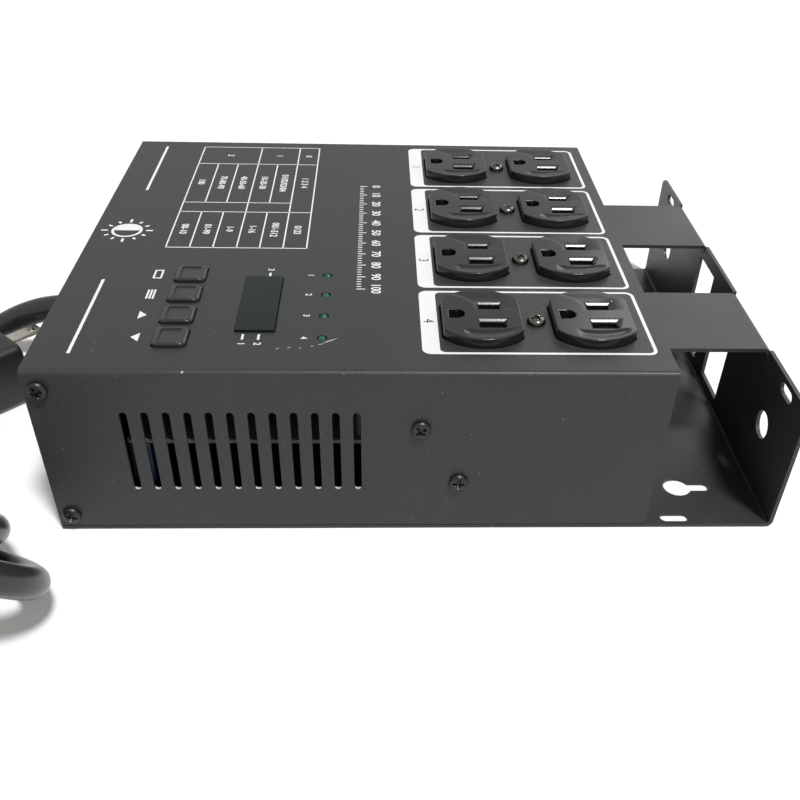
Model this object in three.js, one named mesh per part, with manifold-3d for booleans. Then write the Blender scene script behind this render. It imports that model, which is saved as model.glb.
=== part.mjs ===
// Four-channel dimmer pack with a mounting bracket: a folded steel box with four duplex outlets on top,
// a key and display panel beside them, and a base plate that runs on into a bracket for clamps.
// Millimetres, +Z up, X along the box towards the bracket, Y from the front wall to the rear wall.
// The pieces are drawn from the left end of the front wall. The last lines move the origin to the middle
// of the underside.
import * as THREE from "three";
import { mergeVertices } from "three/addons/utils/BufferGeometryUtils.js";
import Module from "manifold-3d";

const wasm = await Module();
wasm.setup();

// Driving dimensions of the box and its sheets.
const boxLength = 213.6;
const boxWidth = 206.4;
const boxHeight = 67.9;
const coverSheet = 1.2;
const baseSheet = 1.5;
const wallSheet = 1.4;
const coverBend = 2.0; // outer radius of the cover's two folds
const baseBend = 2.6; // outer radius of the base plate's folds
const seatGap = 0.3; // what seated pieces keep to each other
const cutOverrun = 1; // how far a cutter runs past the face that it opens
const fastenerPlay = 0.35; // round a screw in a plain hole

// The bracket, which is the base plate run on past the box.
const bracketReach = 48.4;
const bracketHeight = 52.2;
const strapNearEdge = 41.3;
const strapWidth = 43.2;
const strapFarEdge = 34.7;
const strapSpacing = boxWidth - strapNearEdge - strapWidth - strapFarEdge;
const strapTabDrop = 12;
const reliefWidth = 1.2;
const reliefDepth = 3.4;
const plateCornerRadius = 3;
const windowWidth = 21.4;
const windowHeight = 40.7;
const windowBottom = 5.7;
const windowSpacing = 34; // middle to middle
const clampHoleRadius = 5.5;
const clampHoleInset = 28.4; // from the near or far edge
const clampHoleHeight = 26.7;
const tieSlotLength = 11;
const tieSlotWidth = 4.5;
const tieSlotInset = 18.7;
const tieSlotDrop = 4.4; // under the plate's top edge
const keyholeRadius = 5.4;
const keyholeSlotWidth = 5;
const keyholeShift = 10.2;
const keyholeOut = 17.6; // past the box's end
const keyholeInset = 21.6;
const footSlotOut = 12.1;
const footSlotInset = 3.8;

// The end panel at the left, folded up from the base plate, and the loose wall at the right.
const panelFlange = 12;
const wallFlange = 10;

// Vents in the front and rear walls.
const ventCount = 12;
const ventPitch = 7.02;
const ventFirst = 30.2;
const ventWidth = 2.6;
const ventBottom = 18.7;
const ventHeight = 33.3;

// Duplex outlets, each with its length along X.
const channelCount = 4;
const channelFarInset = 31.55; // channel 1 is the farthest
const channelNearInset = 32.5;
const channelFirst = boxWidth - channelFarInset;
const channelPitch = (channelFirst - channelNearInset) / (channelCount - 1);
const outletFromEnd = 43.5;
const outletMiddle = boxLength - outletFromEnd;
const outletPitch = 39;
const faceRadius = 17.5;
const faceFlat = 13.8;
const faceRise = 3.5; // above the cover
const faceEdge = 0.6; // the moulded round along the rim
const facePlay = 0.45;
const outletBodyLength = 70;
const outletBodyWidth = 33.4;
const outletBodyDepth = 24.2;
const outletBodyCorner = 3;
const outletWaistWidth = 27;
const outletWaistDrop = 9;
const bladeSpacing = 12.7;
const bladeOffset = 3.5; // of the blade slots from the face's middle
const slotWidth = 2.3;
const lineSlotLength = 7.2;
const neutralSlotLength = 8.8;
const slotDepth = 15;
const mouthLength = 10.2;
const mouthWidth = 5.6;
const mouthDepth = 2.4;
const mouthStep = 0.15; // between the mouth's narrow end and the slot
const groundLeft = 11.4; // from the face's middle to the flat side
const groundRadius = 2.9;
const groundArcBack = 8.8;
const groundDepth = 18;
const scoopDepth = 1;
const farScoopEdge = 3.7;
const nearScoopEdge = 10.3;
const nearScoopLeft = 5.6;
const nearScoopRight = 11;
const strapPlateLength = 82.6;
const strapPlateLip = 2.5; // beside the faces
const strapPlateWidth = 2 * (faceRadius + strapPlateLip);
const strapPlateThick = 1.2;

// Screws: pan heads with a cross recess.
const screwHeadRadius = 3.35;
const screwHeadHeight = 2.1;
const screwShankRadius = 1.7;
const screwRecess = 1.3;
const screwRecessLength = 4.2;
const screwRecessWidth = 0.9;
const outletScrewLength = 7;
const coverScrewLength = 6;
const coverScrewEnd = 4.9;
const coverScrewHigh = 60.8;
const coverScrewLow = 7.2;
const sinkScrewHighX = 129;
const sinkScrewHighZ = 45.5;
const sinkScrewLowX = 142.9;
const sinkScrewLowZ = 22.4;

// Key and display panel.
const panelRoom = outletMiddle - outletPitch / 2 - faceRadius; // left of the outlet faces
const keyShare = 0.337;
const displayShare = 0.5436;
const lampShare = 0.7175;
const keyCount = 4;
const keyX = panelRoom * keyShare;
const keyFirst = 66.05; // key 1 is the farthest
const keyPitch = 15.15;
const keyLength = 11.4; // along X, at the cover
const keyWidth = 11.8;
const keyTopLength = 8.8;
const keyTopWidth = 9;
const keyRise = 1.8;
const keyTravel = 0.8;
const keyPlay = 0.3;
const keyCorner = 1.7;
const keyDish = 0.35;
const keyRim = 0.55;
const keyBodyDepth = 3; // under the cover's top face
const keySkirt = 1;
const keySkirtThick = 0.8;
const keyStemRadius = 2;
const displayX = panelRoom * displayShare;
const displayY = 44.6;
const filterLength = 13.5; // along X
const filterWidth = 39.2;
const filterRise = 0.8;
const filterThick = 2.4;
const moduleLength = 19;
const moduleWidth = 50.4;
const moduleDepth = 7;
const ledX = panelRoom * lampShare;
const ledFirst = 66.5;
const ledPitch = 15.1;
const ledRadius = 1.5;
const ledRimRadius = 2.1;
const ledRise = 0.5;
const ledRimDrop = 2.6;
const ledPlay = 0.35;

// Control board under the key panel.
const boardThick = 1.6;
const controlBesideKeys = 10.9;
const controlBesideLamps = 8.5;
const controlLeft = keyX - controlBesideKeys;
const controlRight = ledX + controlBesideLamps;
const controlNear = 7;
const controlFar = 80;
const controlDrop = 11.5; // from the cover's top face to the board's top face
const postRadius = 2.6;
const postInset = 4;
const switchSide = 6;
const switchHeight = 3.4;
const chipLength = 24;
const chipWidth = 9;
const chipHeight = 4;

// Power board, which hangs from the cover with its parts underneath.
const powerLeft = 28;
const powerFromEnd = 7.6;
const powerRight = boxLength - powerFromEnd;
const powerInset = 5.3;
const powerTop = 36.7;
const postBeforeOutlets = 19.1;
const capacitorLength = 26;
const capacitorWidth = 8;
const capacitorHeight = 17;
const terminalLength = 30;
const terminalWidth = 11;
const terminalHeight = 14;
const transformerLength = 36;
const transformerWidth = 30;
const transformerHeight = 26;
const transformerX = 52;
const transformerY = 62;
const bobbinWidth = 20;
const bobbinShare = 0.6; // of the core's height
const chokeOuter = 14.5;
const chokeTube = 4.6;
const chokeShift = 1.9; // past the outlets' middle
const chokeX = outletMiddle + chokeShift;
const sinkLeft = 116;
const sinkRight = 164;
const sinkBottom = 12;
const sinkTop = 54;
const sinkThick = 3;
const triacLength = 10.4;
const triacThick = 4.6;
const triacHeight = 15.4;
const triacDrop = 4;
const triacLegWidth = 6.4;
const triacLegThick = 0.9;
const triacInset = 6;

// Signal sockets in the end panel: pins in on the first, holes and a latch on the second.
const inputShare = 0.165; // of the box's width
const outputShare = 0.349;
const socketHeight = 34;
const inputY = boxWidth * inputShare;
const outputY = boxWidth * outputShare;
const socketFlangeWidth = 26;
const socketFlangeHeight = 31;
const socketFlangeThick = 2;
const socketFlangeCorner = 3;
const socketBarrelRadius = 11.6;
const socketBarrelDepth = 20;
const socketPlay = 0.3;
const socketBore = 9.3;
const socketBoreDepth = 15;
const socketPinRadius = 1.2;
const socketPinCircle = 4.1;
const socketPinRecess = 2;
const socketInsertRadius = 7.7;
const socketInsertRecess = 0.6;
const socketHoleRadius = 1.5;
const socketHoleDepth = 11;
const latchWidth = 8.4;
const latchHeight = 3.4;
const latchRise = 12.4; // of its middle above the socket's middle
const latchProud = 1.8;
const latchDepth = 1.6;
const latchPlay = 0.35;
const latchTravel = 1.2;
const boreSides = 24;

// Circuit breaker with its reset button.
const breakerShare = 0.775;
const breakerY = boxWidth * breakerShare;
const breakerZ = 34;
const breakerLength = 24;
const breakerWidth = 15;
const breakerHeight = 26;
const bushingRadius = 5.5;
const bushingReach = 6.4;
const nutRadius = 8.6;
const nutThick = 2.6;
const nutSides = 6;
const resetRadius = 3.3;
const resetReach = 9.6; // of its nose past the panel
const resetLength = 15;
const resetPlay = 0.35;

// Mains lead: strain relief, lead, hank and plug.
const cordRadius = 5.35;
const cordShare = 0.5717;
const cordY = boxWidth * cordShare;
const cordZ = 25;
const reliefLength = 21;
const reliefEndRadius = 6.6;
const reliefRootRadius = 9;
const reliefCollar = 3;
const reliefCollarRadius = 10.4;
const reliefThroat = 7.6;
const reliefInner = 9;
const foldRadius = 34.5;
const hankRun = 204;
const hankShort = 21; // how much farther left the second round folds
const hankX = -30.7; // middle of the fold beside the box
const hankY = -54.3;
const hankTurn = 24; // degrees towards -Y, in plan
const hankTilt = 50; // degrees by which its near end stands up
const tiltFrom = -190;
const tiltTo = 34;
const hankStart = 58; // how far before the fold the lead joins the hank
const hankLow = 5.45;
const hankLayer = 12;
const hankStep = 12;
const climbStart = 57; // from the far fold
const climbLength = 50;
const plugX = -43.5;
const plugY = 93;
const plugTurn = 46.2; // degrees from +X, in plan
const plugLength = 42;
const plugWidth = 32;
const plugThick = 27;
const plugCorner = 3.5;
const plugWaistShare = 0.72;
const plugNeckLength = 20;
const plugNeckRadius = 8.4;
const plugNeckEndRadius = 6.6;
const plugBladeLength = 17.5;
const plugBladeWidth = 6.3;
const plugBladeThick = 1.5;
const plugBladeShift = 4;
const plugBladeHole = 1.6;
const plugPinLength = 20.5;
const plugPinRadius = 2.4;
const plugPinShift = 7.9;

// The lead's free stretches, hand-laid: out of the strain relief down to the table and round to the hank,
// and from the hank round its far end and over the first stretch to the plug.
const leadRoute = [
  [-21.3, 118, 25], [-27, 118, 24.8], [-35, 118, 23.4], [-44, 118, 20.2], [-53, 118, 15.6],
  [-61, 117.9, 11.6], [-69.5, 117.6, 8.5], [-80.5, 115.9, 6.2], [-93, 111, 5.5], [-105.5, 101.8, 5.45],
  [-115.3, 89.5, 5.45], [-121.4, 75, 5.45], [-123.3, 59.3, 5.45], [-120.7, 43.8, 5.45], [-113.8, 29.6, 5.45],
  [-103.2, 18, 5.45], [-89.8, 9.8, 5.45], [-79.7, 5.3, 5.45], [-69.9, 0.9, 5.45],
];
const plugRoute = [
  [-231.4, -2.7, 17.35], [-240.2, 1.2, 17.35], [-252.9, 10.5, 17.3], [-261.8, 24.5, 17.2], [-264.6, 41, 16.6],
  [-260.9, 57.2, 15], [-251.3, 70.6, 12.8], [-237.3, 79.5, 10.6], [-220.8, 82.3, 9.2], [-204, 78.8, 8.5],
  [-190, 71.2, 8.6], [-175, 63.1, 9.8], [-160, 55, 12.4], [-146, 47.4, 15.4], [-138, 43.1, 17.6],
  [-130, 38.9, 19.4], [-122.5, 36, 20], [-113.8, 34.8, 19], [-104.6, 36, 16.8], [-96, 39.7, 14.5],
  [-89.6, 44.9, 13.6], [-86.85, 47.8, 13.5],
];

// Colours and finishes.
const finish = (color, roughness, metalness) => new THREE.MeshStandardMaterial({ color, roughness, metalness });
const blackPaint = finish(0x2b2c2c, 0.62, 0.1);
const blackMoulding = finish(0x141515, 0.35, 0);
const rubber = finish(0x1b1c1c, 0.7, 0);
const zinc = finish(0x8d9094, 0.4, 0.9);
const blackScrew = finish(0x1a1a1a, 0.4, 0.7);
const nickel = finish(0xb9b6ac, 0.3, 1);
const filterGreen = finish(0x101f18, 0.25, 0);
const ledGreen = finish(0x2c9c62, 0.25, 0);
const boardGreen = finish(0x1f5a3a, 0.6, 0);
const aluminium = finish(0xa8abae, 0.4, 0.9);
const ferrite = finish(0x9a8a3c, 0.6, 0);
const steelCore = finish(0x70726f, 0.5, 0.6);
const whiteButton = finish(0xd8d6cf, 0.5, 0);

// Positions alone, with shared vertices merged, make a geometry into a solid that can be cut and joined.
function solid(geometry) {
  const bare = geometry.clone();
  bare.deleteAttribute("normal");
  bare.deleteAttribute("uv");
  const merged = mergeVertices(bare);
  return new wasm.Manifold(
    new wasm.Mesh({
      numProp: 3,
      vertProperties: merged.attributes.position.array,
      triVerts: new Uint32Array(merged.index.array),
    }),
  );
}

// Back from a solid to a geometry with flat faces.
function geometryOf(shape) {
  const mesh = shape.getMesh();
  const indexed = new THREE.BufferGeometry();
  indexed.setAttribute("position", new THREE.BufferAttribute(new Float32Array(mesh.vertProperties), 3));
  indexed.setIndex([...mesh.triVerts]);
  const flat = indexed.toNonIndexed();
  flat.computeVertexNormals();
  return flat;
}

const group = new THREE.Group();

// Adds one named piece to the pack, or to the group given.
function piece(name, shape, material, parent = group) {
  const mesh = new THREE.Mesh(shape.isBufferGeometry ? shape : geometryOf(shape), material);
  mesh.name = name;
  parent.add(mesh);
  return mesh;
}

function block([x0, x1], [y0, y1], [z0, z1]) {
  const geometry = new THREE.BoxGeometry(x1 - x0, y1 - y0, z1 - z0);
  return solid(geometry.translate((x0 + x1) / 2, (y0 + y1) / 2, (z0 + z1) / 2));
}

// Prisms along each axis. The outline is drawn in (x, y), (y, z) and (z, x) in turn.
const axisFrames = {
  z: new THREE.Matrix4(),
  x: new THREE.Matrix4().makeBasis(
    new THREE.Vector3(0, 1, 0), new THREE.Vector3(0, 0, 1), new THREE.Vector3(1, 0, 0),
  ),
  y: new THREE.Matrix4().makeBasis(
    new THREE.Vector3(0, 0, 1), new THREE.Vector3(1, 0, 0), new THREE.Vector3(0, 1, 0),
  ),
};

// Each arc of the outline is drawn in the number of steps given.
function prism(axis, outline, from, to, steps = 8) {
  const depth = to - from;
  const curveSegments = steps / 2;
  const geometry = new THREE.ExtrudeGeometry(outline, { depth, bevelEnabled: false, curveSegments });
  return solid(geometry.translate(0, 0, from).applyMatrix4(axisFrames[axis]));
}

function circle(x, y, radius) {
  return new THREE.Shape().absarc(x, y, radius, 0, 2 * Math.PI);
}

function rod(axis, [u, v], radius, from, to, sides = 16) {
  return prism(axis, circle(u, v, radius), from, to, sides);
}

function roundedRectangle([x0, x1], [y0, y1], r) {
  const outline = new THREE.Shape();
  outline.absarc(x1 - r, y0 + r, r, -Math.PI / 2, 0);
  outline.absarc(x1 - r, y1 - r, r, 0, Math.PI / 2);
  outline.absarc(x0 + r, y1 - r, r, Math.PI / 2, Math.PI);
  outline.absarc(x0 + r, y0 + r, r, Math.PI, 1.5 * Math.PI);
  return outline;
}

// A round-ended slot, its length along the outline's first or second direction.
function slotOutline([u, v], length, width, lengthwise = "first") {
  const r = width / 2;
  const half = length / 2 - r;
  const outline = new THREE.Shape();
  if (lengthwise === "first") {
    outline.absarc(u + half, v, r, -Math.PI / 2, Math.PI / 2);
    outline.absarc(u - half, v, r, Math.PI / 2, 1.5 * Math.PI);
  } else {
    outline.absarc(u, v + half, r, 0, Math.PI);
    outline.absarc(u, v - half, r, Math.PI, 2 * Math.PI);
  }
  return outline;
}

function cutAll(body, cutters) {
  return cutters.reduce((left, cutter) => left.subtract(cutter), body);
}

function joinAll(pieces) {
  return pieces.reduce((all, next) => all.add(next));
}

const count = (n) => [...Array(n).keys()];
const channelY = count(channelCount).map((i) => channelFirst - i * channelPitch);
const keyY = count(keyCount).map((i) => keyFirst - i * keyPitch);
const ledY = count(channelCount).map((i) => ledFirst - i * ledPitch);
const faceX = [outletMiddle - outletPitch / 2, outletMiddle + outletPitch / 2];
const coverUnderside = boxHeight - coverSheet;
const panelNear = coverSheet + seatGap;
const panelFar = boxWidth - panelNear;
const plateX = boxLength + bracketReach - baseSheet; // inner face of the end plate

// Front and rear walls as [outer face, direction into the box].
const sideWalls = { front: [0, 1], rear: [boxWidth, -1] };
const across = (outer, into, from, to) => [outer + into * from, outer + into * to].sort((a, b) => a - b);

// The outline of an outlet face: a circle with two flat sides.
function faceOutline(x, y, play) {
  const r = faceRadius + play;
  const a = Math.acos((faceFlat + play) / r);
  const outline = new THREE.Shape();
  outline.absarc(x, y, r, a, Math.PI - a);
  outline.absarc(x, y, r, Math.PI + a, 2 * Math.PI - a);
  return outline;
}

// Cover: one sheet folded down along the front and the rear.
function cover() {
  const foot = baseSheet + seatGap;
  const inner = coverBend - coverSheet;
  const outline = new THREE.Shape();
  outline.moveTo(0, foot);
  outline.lineTo(coverSheet, foot);
  outline.absarc(coverBend, boxHeight - coverBend, inner, Math.PI, Math.PI / 2, true);
  outline.absarc(boxWidth - coverBend, boxHeight - coverBend, inner, Math.PI / 2, 0, true);
  outline.lineTo(boxWidth - coverSheet, foot);
  outline.lineTo(boxWidth, foot);
  outline.absarc(boxWidth - coverBend, boxHeight - coverBend, coverBend, 0, Math.PI / 2);
  outline.absarc(coverBend, boxHeight - coverBend, coverBend, Math.PI / 2, Math.PI);
  const top = [coverUnderside - cutOverrun, boxHeight + cutOverrun];
  const through = (shape, segments) => prism("z", shape, ...top, segments);
  const cutters = channelY.flatMap((y) => [
    ...faceX.map((x) => through(faceOutline(x, y, facePlay), 10)),
    through(circle(outletMiddle, y, screwShankRadius + fastenerPlay), 10),
  ]);
  cutters.push(
    ...keyY.map((y) => through(keyOutline(y, keyLength / 2 + keyPlay, keyWidth / 2 + keyPlay), 4)),
    ...ledY.map((y) => through(circle(ledX, y, ledRadius + ledPlay), 12)),
    through(
      roundedRectangle(
        [displayX - filterLength / 2 - seatGap, displayX + filterLength / 2 + seatGap],
        [displayY - filterWidth / 2 - seatGap, displayY + filterWidth / 2 + seatGap],
        seatGap,
      ),
      2,
    ),
  );
  for (const [outer, into] of Object.values(sideWalls)) {
    const wall = across(outer, into, -cutOverrun, coverSheet + cutOverrun);
    for (const i of count(ventCount)) {
      const middle = [ventBottom + ventHeight / 2, ventFirst + i * ventPitch];
      cutters.push(prism("y", slotOutline(middle, ventHeight, ventWidth), ...wall, 4));
    }
    for (const [x, z] of [...coverScrewPlaces, ...sinkScrewPlaces]) {
      cutters.push(rod("y", [z, x], screwShankRadius + fastenerPlay, ...wall, 10));
    }
  }
  piece("cover", cutAll(prism("x", outline, 0, boxLength, 6), cutters), blackPaint);
}

const coverScrewPlaces = [[coverScrewEnd, coverScrewHigh], [coverScrewEnd, coverScrewLow]];
const sinkScrewPlaces = [[sinkScrewHighX, sinkScrewHighZ], [sinkScrewLowX, sinkScrewLowZ]];

// A fold between a level sheet and an upright one, seen along Y and drawn in (z, x).
// side is 1 where the upright stands at the sheet's +X end, and -1 at its -X end.
function foldedSheet(levelFrom, corner, side, top) {
  const r = baseBend;
  const inner = r - baseSheet;
  const outline = new THREE.Shape();
  const upright = corner - side * baseSheet;
  outline.moveTo(0, levelFrom);
  outline.lineTo(0, corner - side * r);
  const start = Math.PI;
  const end = side > 0 ? Math.PI / 2 : 1.5 * Math.PI;
  outline.absarc(r, corner - side * r, r, start, end, side > 0);
  outline.lineTo(top, corner);
  outline.lineTo(top, upright);
  outline.absarc(r, corner - side * r, inner, end, start, side < 0);
  outline.lineTo(baseSheet, levelFrom);
  return outline;
}

// Base: bottom plate, left end panel with side flanges, and the bracket's end plate with two straps that
// fold back to the box, all one sheet.
function base() {
  const end = boxLength + bracketReach;
  const middle = boxLength / 2;
  const panelTop = coverUnderside - seatGap;
  const flangeTop = panelTop - baseBend;
  const parts = [
    prism("y", foldedSheet(middle, end, 1, bracketHeight), 0, boxWidth, 4),
    block([baseBend, middle + cutOverrun], [0, boxWidth], [0, baseSheet]),
    block([0, baseBend + cutOverrun], [0, panelNear + seatGap], [0, baseSheet]),
    block([0, baseBend + cutOverrun], [panelFar - seatGap, boxWidth], [0, baseSheet]),
    prism("y", foldedSheet(middle, 0, -1, panelTop), panelNear, panelFar, 4),
  ];
  for (const [from, to] of [
    [panelNear, panelNear + baseSheet],
    [panelFar - baseSheet, panelFar],
  ]) {
    parts.push(block([0, panelFlange], [from, to], [baseBend + seatGap, flangeTop]));
  }
  const strapTabX = boxLength + seatGap;
  for (const from of strapEdges) {
    const outline = new THREE.Shape();
    const high = bracketHeight;
    const under = bracketHeight - baseSheet;
    const inner = baseBend - baseSheet;
    outline.moveTo(high - 2 * baseBend, end);
    outline.absarc(high - baseBend, end - baseBend, baseBend, Math.PI / 2, 0, true);
    outline.absarc(high - baseBend, strapTabX + baseBend, baseBend, 0, -Math.PI / 2, true);
    outline.lineTo(high - strapTabDrop, strapTabX);
    outline.lineTo(high - strapTabDrop, strapTabX + baseSheet);
    outline.absarc(high - baseBend, strapTabX + baseBend, inner, -Math.PI / 2, 0);
    outline.lineTo(under, end - baseBend);
    outline.absarc(high - baseBend, end - baseBend, inner, 0, Math.PI / 2);
    outline.lineTo(high - 2 * baseBend, end - baseSheet);
    parts.push(prism("y", outline, from, from + strapWidth, 4));
  }
  const cutters = [];
  const plate = [plateX - cutOverrun, end + cutOverrun];
  // The end plate's square top corner goes where a strap folds over it.
  for (const from of strapEdges) {
    const corner = block(
      [end - baseBend, end + cutOverrun],
      [from, from + strapWidth],
      [bracketHeight - baseBend, bracketHeight + cutOverrun],
    );
    const fold = prism("y", circle(bracketHeight - baseBend, end - baseBend, baseBend), from, from + strapWidth, 16);
    cutters.push(corner.subtract(fold));
    for (const [notchFrom, notchTo] of [
      [from - reliefWidth, from],
      [from + strapWidth, from + strapWidth + reliefWidth],
    ]) {
      cutters.push(block(plate, [notchFrom, notchTo], [bracketHeight - reliefDepth, bracketHeight + cutOverrun]));
    }
  }
  for (const side of [-1, 1]) {
    const y = boxWidth / 2 + side * (windowSpacing / 2);
    cutters.push(
      block(plate, [y - windowWidth / 2, y + windowWidth / 2], [windowBottom, windowBottom + windowHeight]),
    );
  }
  const under = [-cutOverrun, baseSheet + cutOverrun];
  const tieZ = bracketHeight - tieSlotDrop;
  for (const mirrored of [(y) => y, (y) => boxWidth - y]) {
    const keyhole = [boxLength + keyholeOut, mirrored(keyholeInset)];
    const [kx, ky] = keyhole;
    cutters.push(
      rod("x", [mirrored(clampHoleInset), clampHoleHeight], clampHoleRadius, ...plate, 20),
      prism("x", slotOutline([mirrored(tieSlotInset), tieZ], tieSlotLength, tieSlotWidth), ...plate, 6),
      rod("z", keyhole, keyholeRadius, ...under, 20),
      prism("z", slotOutline([kx + keyholeShift / 2, ky], keyholeShift + keyholeSlotWidth, keyholeSlotWidth), ...under),
      prism("z", slotOutline([boxLength + footSlotOut, mirrored(footSlotInset)], tieSlotLength, tieSlotWidth), ...under),
    );
  }
  // The plate's two free top corners are rounded.
  for (const [corner, into] of [[0, 1], [boxWidth, -1]]) {
    const square = block(
      plate,
      across(corner, into, -cutOverrun, plateCornerRadius),
      [bracketHeight - plateCornerRadius, bracketHeight + cutOverrun],
    );
    const centre = [corner + into * plateCornerRadius, bracketHeight - plateCornerRadius];
    cutters.push(square.subtract(rod("x", centre, plateCornerRadius, plate[0] - cutOverrun, plate[1] + cutOverrun)));
  }
  // Openings of the end panel, and screw holes in its flanges.
  const panel = [-cutOverrun, baseBend + cutOverrun];
  for (const y of [inputY, outputY]) {
    cutters.push(rod("x", [y, socketHeight], socketBarrelRadius + socketPlay, ...panel, boreSides));
  }
  cutters.push(
    rod("x", [breakerY, breakerZ], bushingRadius + fastenerPlay, ...panel),
    rod("x", [cordY, cordZ], reliefThroat + fastenerPlay, ...panel, 20),
  );
  for (const [outer, into] of Object.values(sideWalls)) {
    const flange = across(outer, into, 0, panelNear + baseSheet + cutOverrun);
    for (const [x, z] of coverScrewPlaces) {
      cutters.push(rod("y", [z, x], screwShankRadius + seatGap, ...flange, 10));
    }
  }
  piece("base_and_bracket", cutAll(joinAll(parts), cutters), blackPaint);
}

const strapEdges = [strapNearEdge, strapNearEdge + strapSpacing];

// Loose wall that closes the outlet end, with flanges turned into the box.
function outletEndWall() {
  const outer = boxLength - seatGap;
  const inner = outer - wallSheet;
  const [low, high] = [baseSheet + seatGap, coverUnderside - seatGap];
  const body = joinAll([
    block([inner, outer], [panelNear, panelFar], [low, high]),
    block([outer - wallFlange, outer], [panelNear, panelFar], [low, low + wallSheet]),
    block([outer - wallFlange, outer], [panelNear, panelNear + wallSheet], [low, high]),
    block([outer - wallFlange, outer], [panelFar - wallSheet, panelFar], [low, high]),
  ]);
  piece("outlet_end_wall", body, blackPaint);
}

// A pan-head screw along Z, head up, its underside at zero.
function screw(length) {
  const dome = new THREE.Shape();
  dome.moveTo(0, -length);
  dome.lineTo(screwShankRadius, -length);
  dome.lineTo(screwShankRadius, 0);
  dome.lineTo(screwHeadRadius, 0);
  dome.lineTo(screwHeadRadius, screwHeadHeight / 3);
  dome.quadraticCurveTo(screwHeadRadius, screwHeadHeight, screwHeadRadius / 3, screwHeadHeight);
  dome.lineTo(0, screwHeadHeight);
  const turned = new THREE.LatheGeometry(dome.getPoints(2), 10);
  const depth = [screwHeadHeight - screwRecess, screwHeadHeight + cutOverrun];
  const long = [-screwRecessLength / 2, screwRecessLength / 2];
  const thin = [-screwRecessWidth / 2, screwRecessWidth / 2];
  return cutAll(solid(turned.rotateX(Math.PI / 2)), [block(long, thin, depth), block(thin, long, depth)]);
}

function screws() {
  channelY.forEach((y, i) => {
    piece(`outlet_screw_${i + 1}`, screw(outletScrewLength), zinc)
      .position.set(outletMiddle, y, boxHeight + seatGap);
  });
  for (const [side, [outer, into]] of Object.entries(sideWalls)) {
    const places = [
      ...coverScrewPlaces.map((at, i) => [`cover_screw_${side}_${i + 1}`, at]),
      ...sinkScrewPlaces.map((at, i) => [`heat_sink_screw_${side}_${i + 1}`, at]),
    ];
    for (const [name, [x, z]] of places) {
      const mesh = piece(name, screw(coverScrewLength), blackScrew);
      mesh.position.set(x, outer - into * seatGap, z);
      mesh.rotation.x = into * (Math.PI / 2);
    }
  }
}

// Outlets: two faces with dished sides, blade slots and an earth hole, on one body, with a steel strap
// between the body and the cover.
function outlets() {
  const strapTop = coverUnderside - seatGap;
  const strapBottom = strapTop - strapPlateThick;
  const bodyTop = strapBottom - seatGap;
  const faceTop = boxHeight + faceRise;
  const bodyBottom = bodyTop - outletBodyDepth;
  const waistTop = bodyTop - outletWaistDrop;
  channelY.forEach((y, i) => {
    const spanX = [outletMiddle - outletBodyLength / 2, outletMiddle + outletBodyLength / 2];
    const spanY = [y - outletBodyWidth / 2, y + outletBodyWidth / 2];
    const waistY = [y - outletWaistWidth / 2, y + outletWaistWidth / 2];
    const parts = [
      prism("z", roundedRectangle(spanX, spanY, outletBodyCorner), waistTop, bodyTop, 4),
      prism("z", roundedRectangle(spanX, waistY, outletBodyCorner), bodyBottom, waistTop + cutOverrun, 4),
    ];
    const cutters = [rod("z", [outletMiddle, y], screwShankRadius + fastenerPlay, strapTop - outletScrewLength, strapTop)];
    for (const x of faceX) {
      parts.push(
        prism("z", faceOutline(x, y, 0), bodyTop - cutOverrun, faceTop - faceEdge, 12),
        prism("z", faceOutline(x, y, -faceEdge), bodyTop - cutOverrun, faceTop, 12),
      );
      const above = faceTop + cutOverrun;
      const slotX = x + bladeOffset;
      for (const [slotY, length] of [
        [y - bladeSpacing / 2, lineSlotLength],
        [y + bladeSpacing / 2, neutralSlotLength],
      ]) {
        cutters.push(
          block([slotX - length / 2, slotX + length / 2], [slotY - slotWidth / 2, slotY + slotWidth / 2],
            [faceTop - slotDepth, above]),
          funnel(slotX, slotY, length, faceTop),
        );
      }
      const earth = new THREE.Shape();
      earth.moveTo(x - groundLeft, y - groundRadius);
      earth.absarc(x - groundArcBack, y, groundRadius, -Math.PI / 2, Math.PI / 2);
      earth.lineTo(x - groundLeft, y + groundRadius);
      cutters.push(prism("z", earth, faceTop - groundDepth, above, 8));
      cutters.push(...scoops(x, y, faceTop, above));
    }
    piece(`outlet_${i + 1}`, cutAll(joinAll(parts), cutters), blackMoulding);
    const plate = prism(
      "z",
      roundedRectangle(
        [outletMiddle - strapPlateLength / 2, outletMiddle + strapPlateLength / 2],
        [y - strapPlateWidth / 2, y + strapPlateWidth / 2],
        outletBodyCorner,
      ),
      strapBottom,
      strapTop,
      2,
    );
    const openings = faceX.map((x) =>
      prism("z", faceOutline(x, y, facePlay), strapBottom - cutOverrun, strapTop + cutOverrun, 10));
    openings.push(
      rod("z", [outletMiddle, y], screwShankRadius + seatGap, strapBottom - cutOverrun, strapTop + cutOverrun, 10),
    );
    piece(`outlet_strap_${i + 1}`, cutAll(plate, openings), zinc);
  });
}

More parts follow.
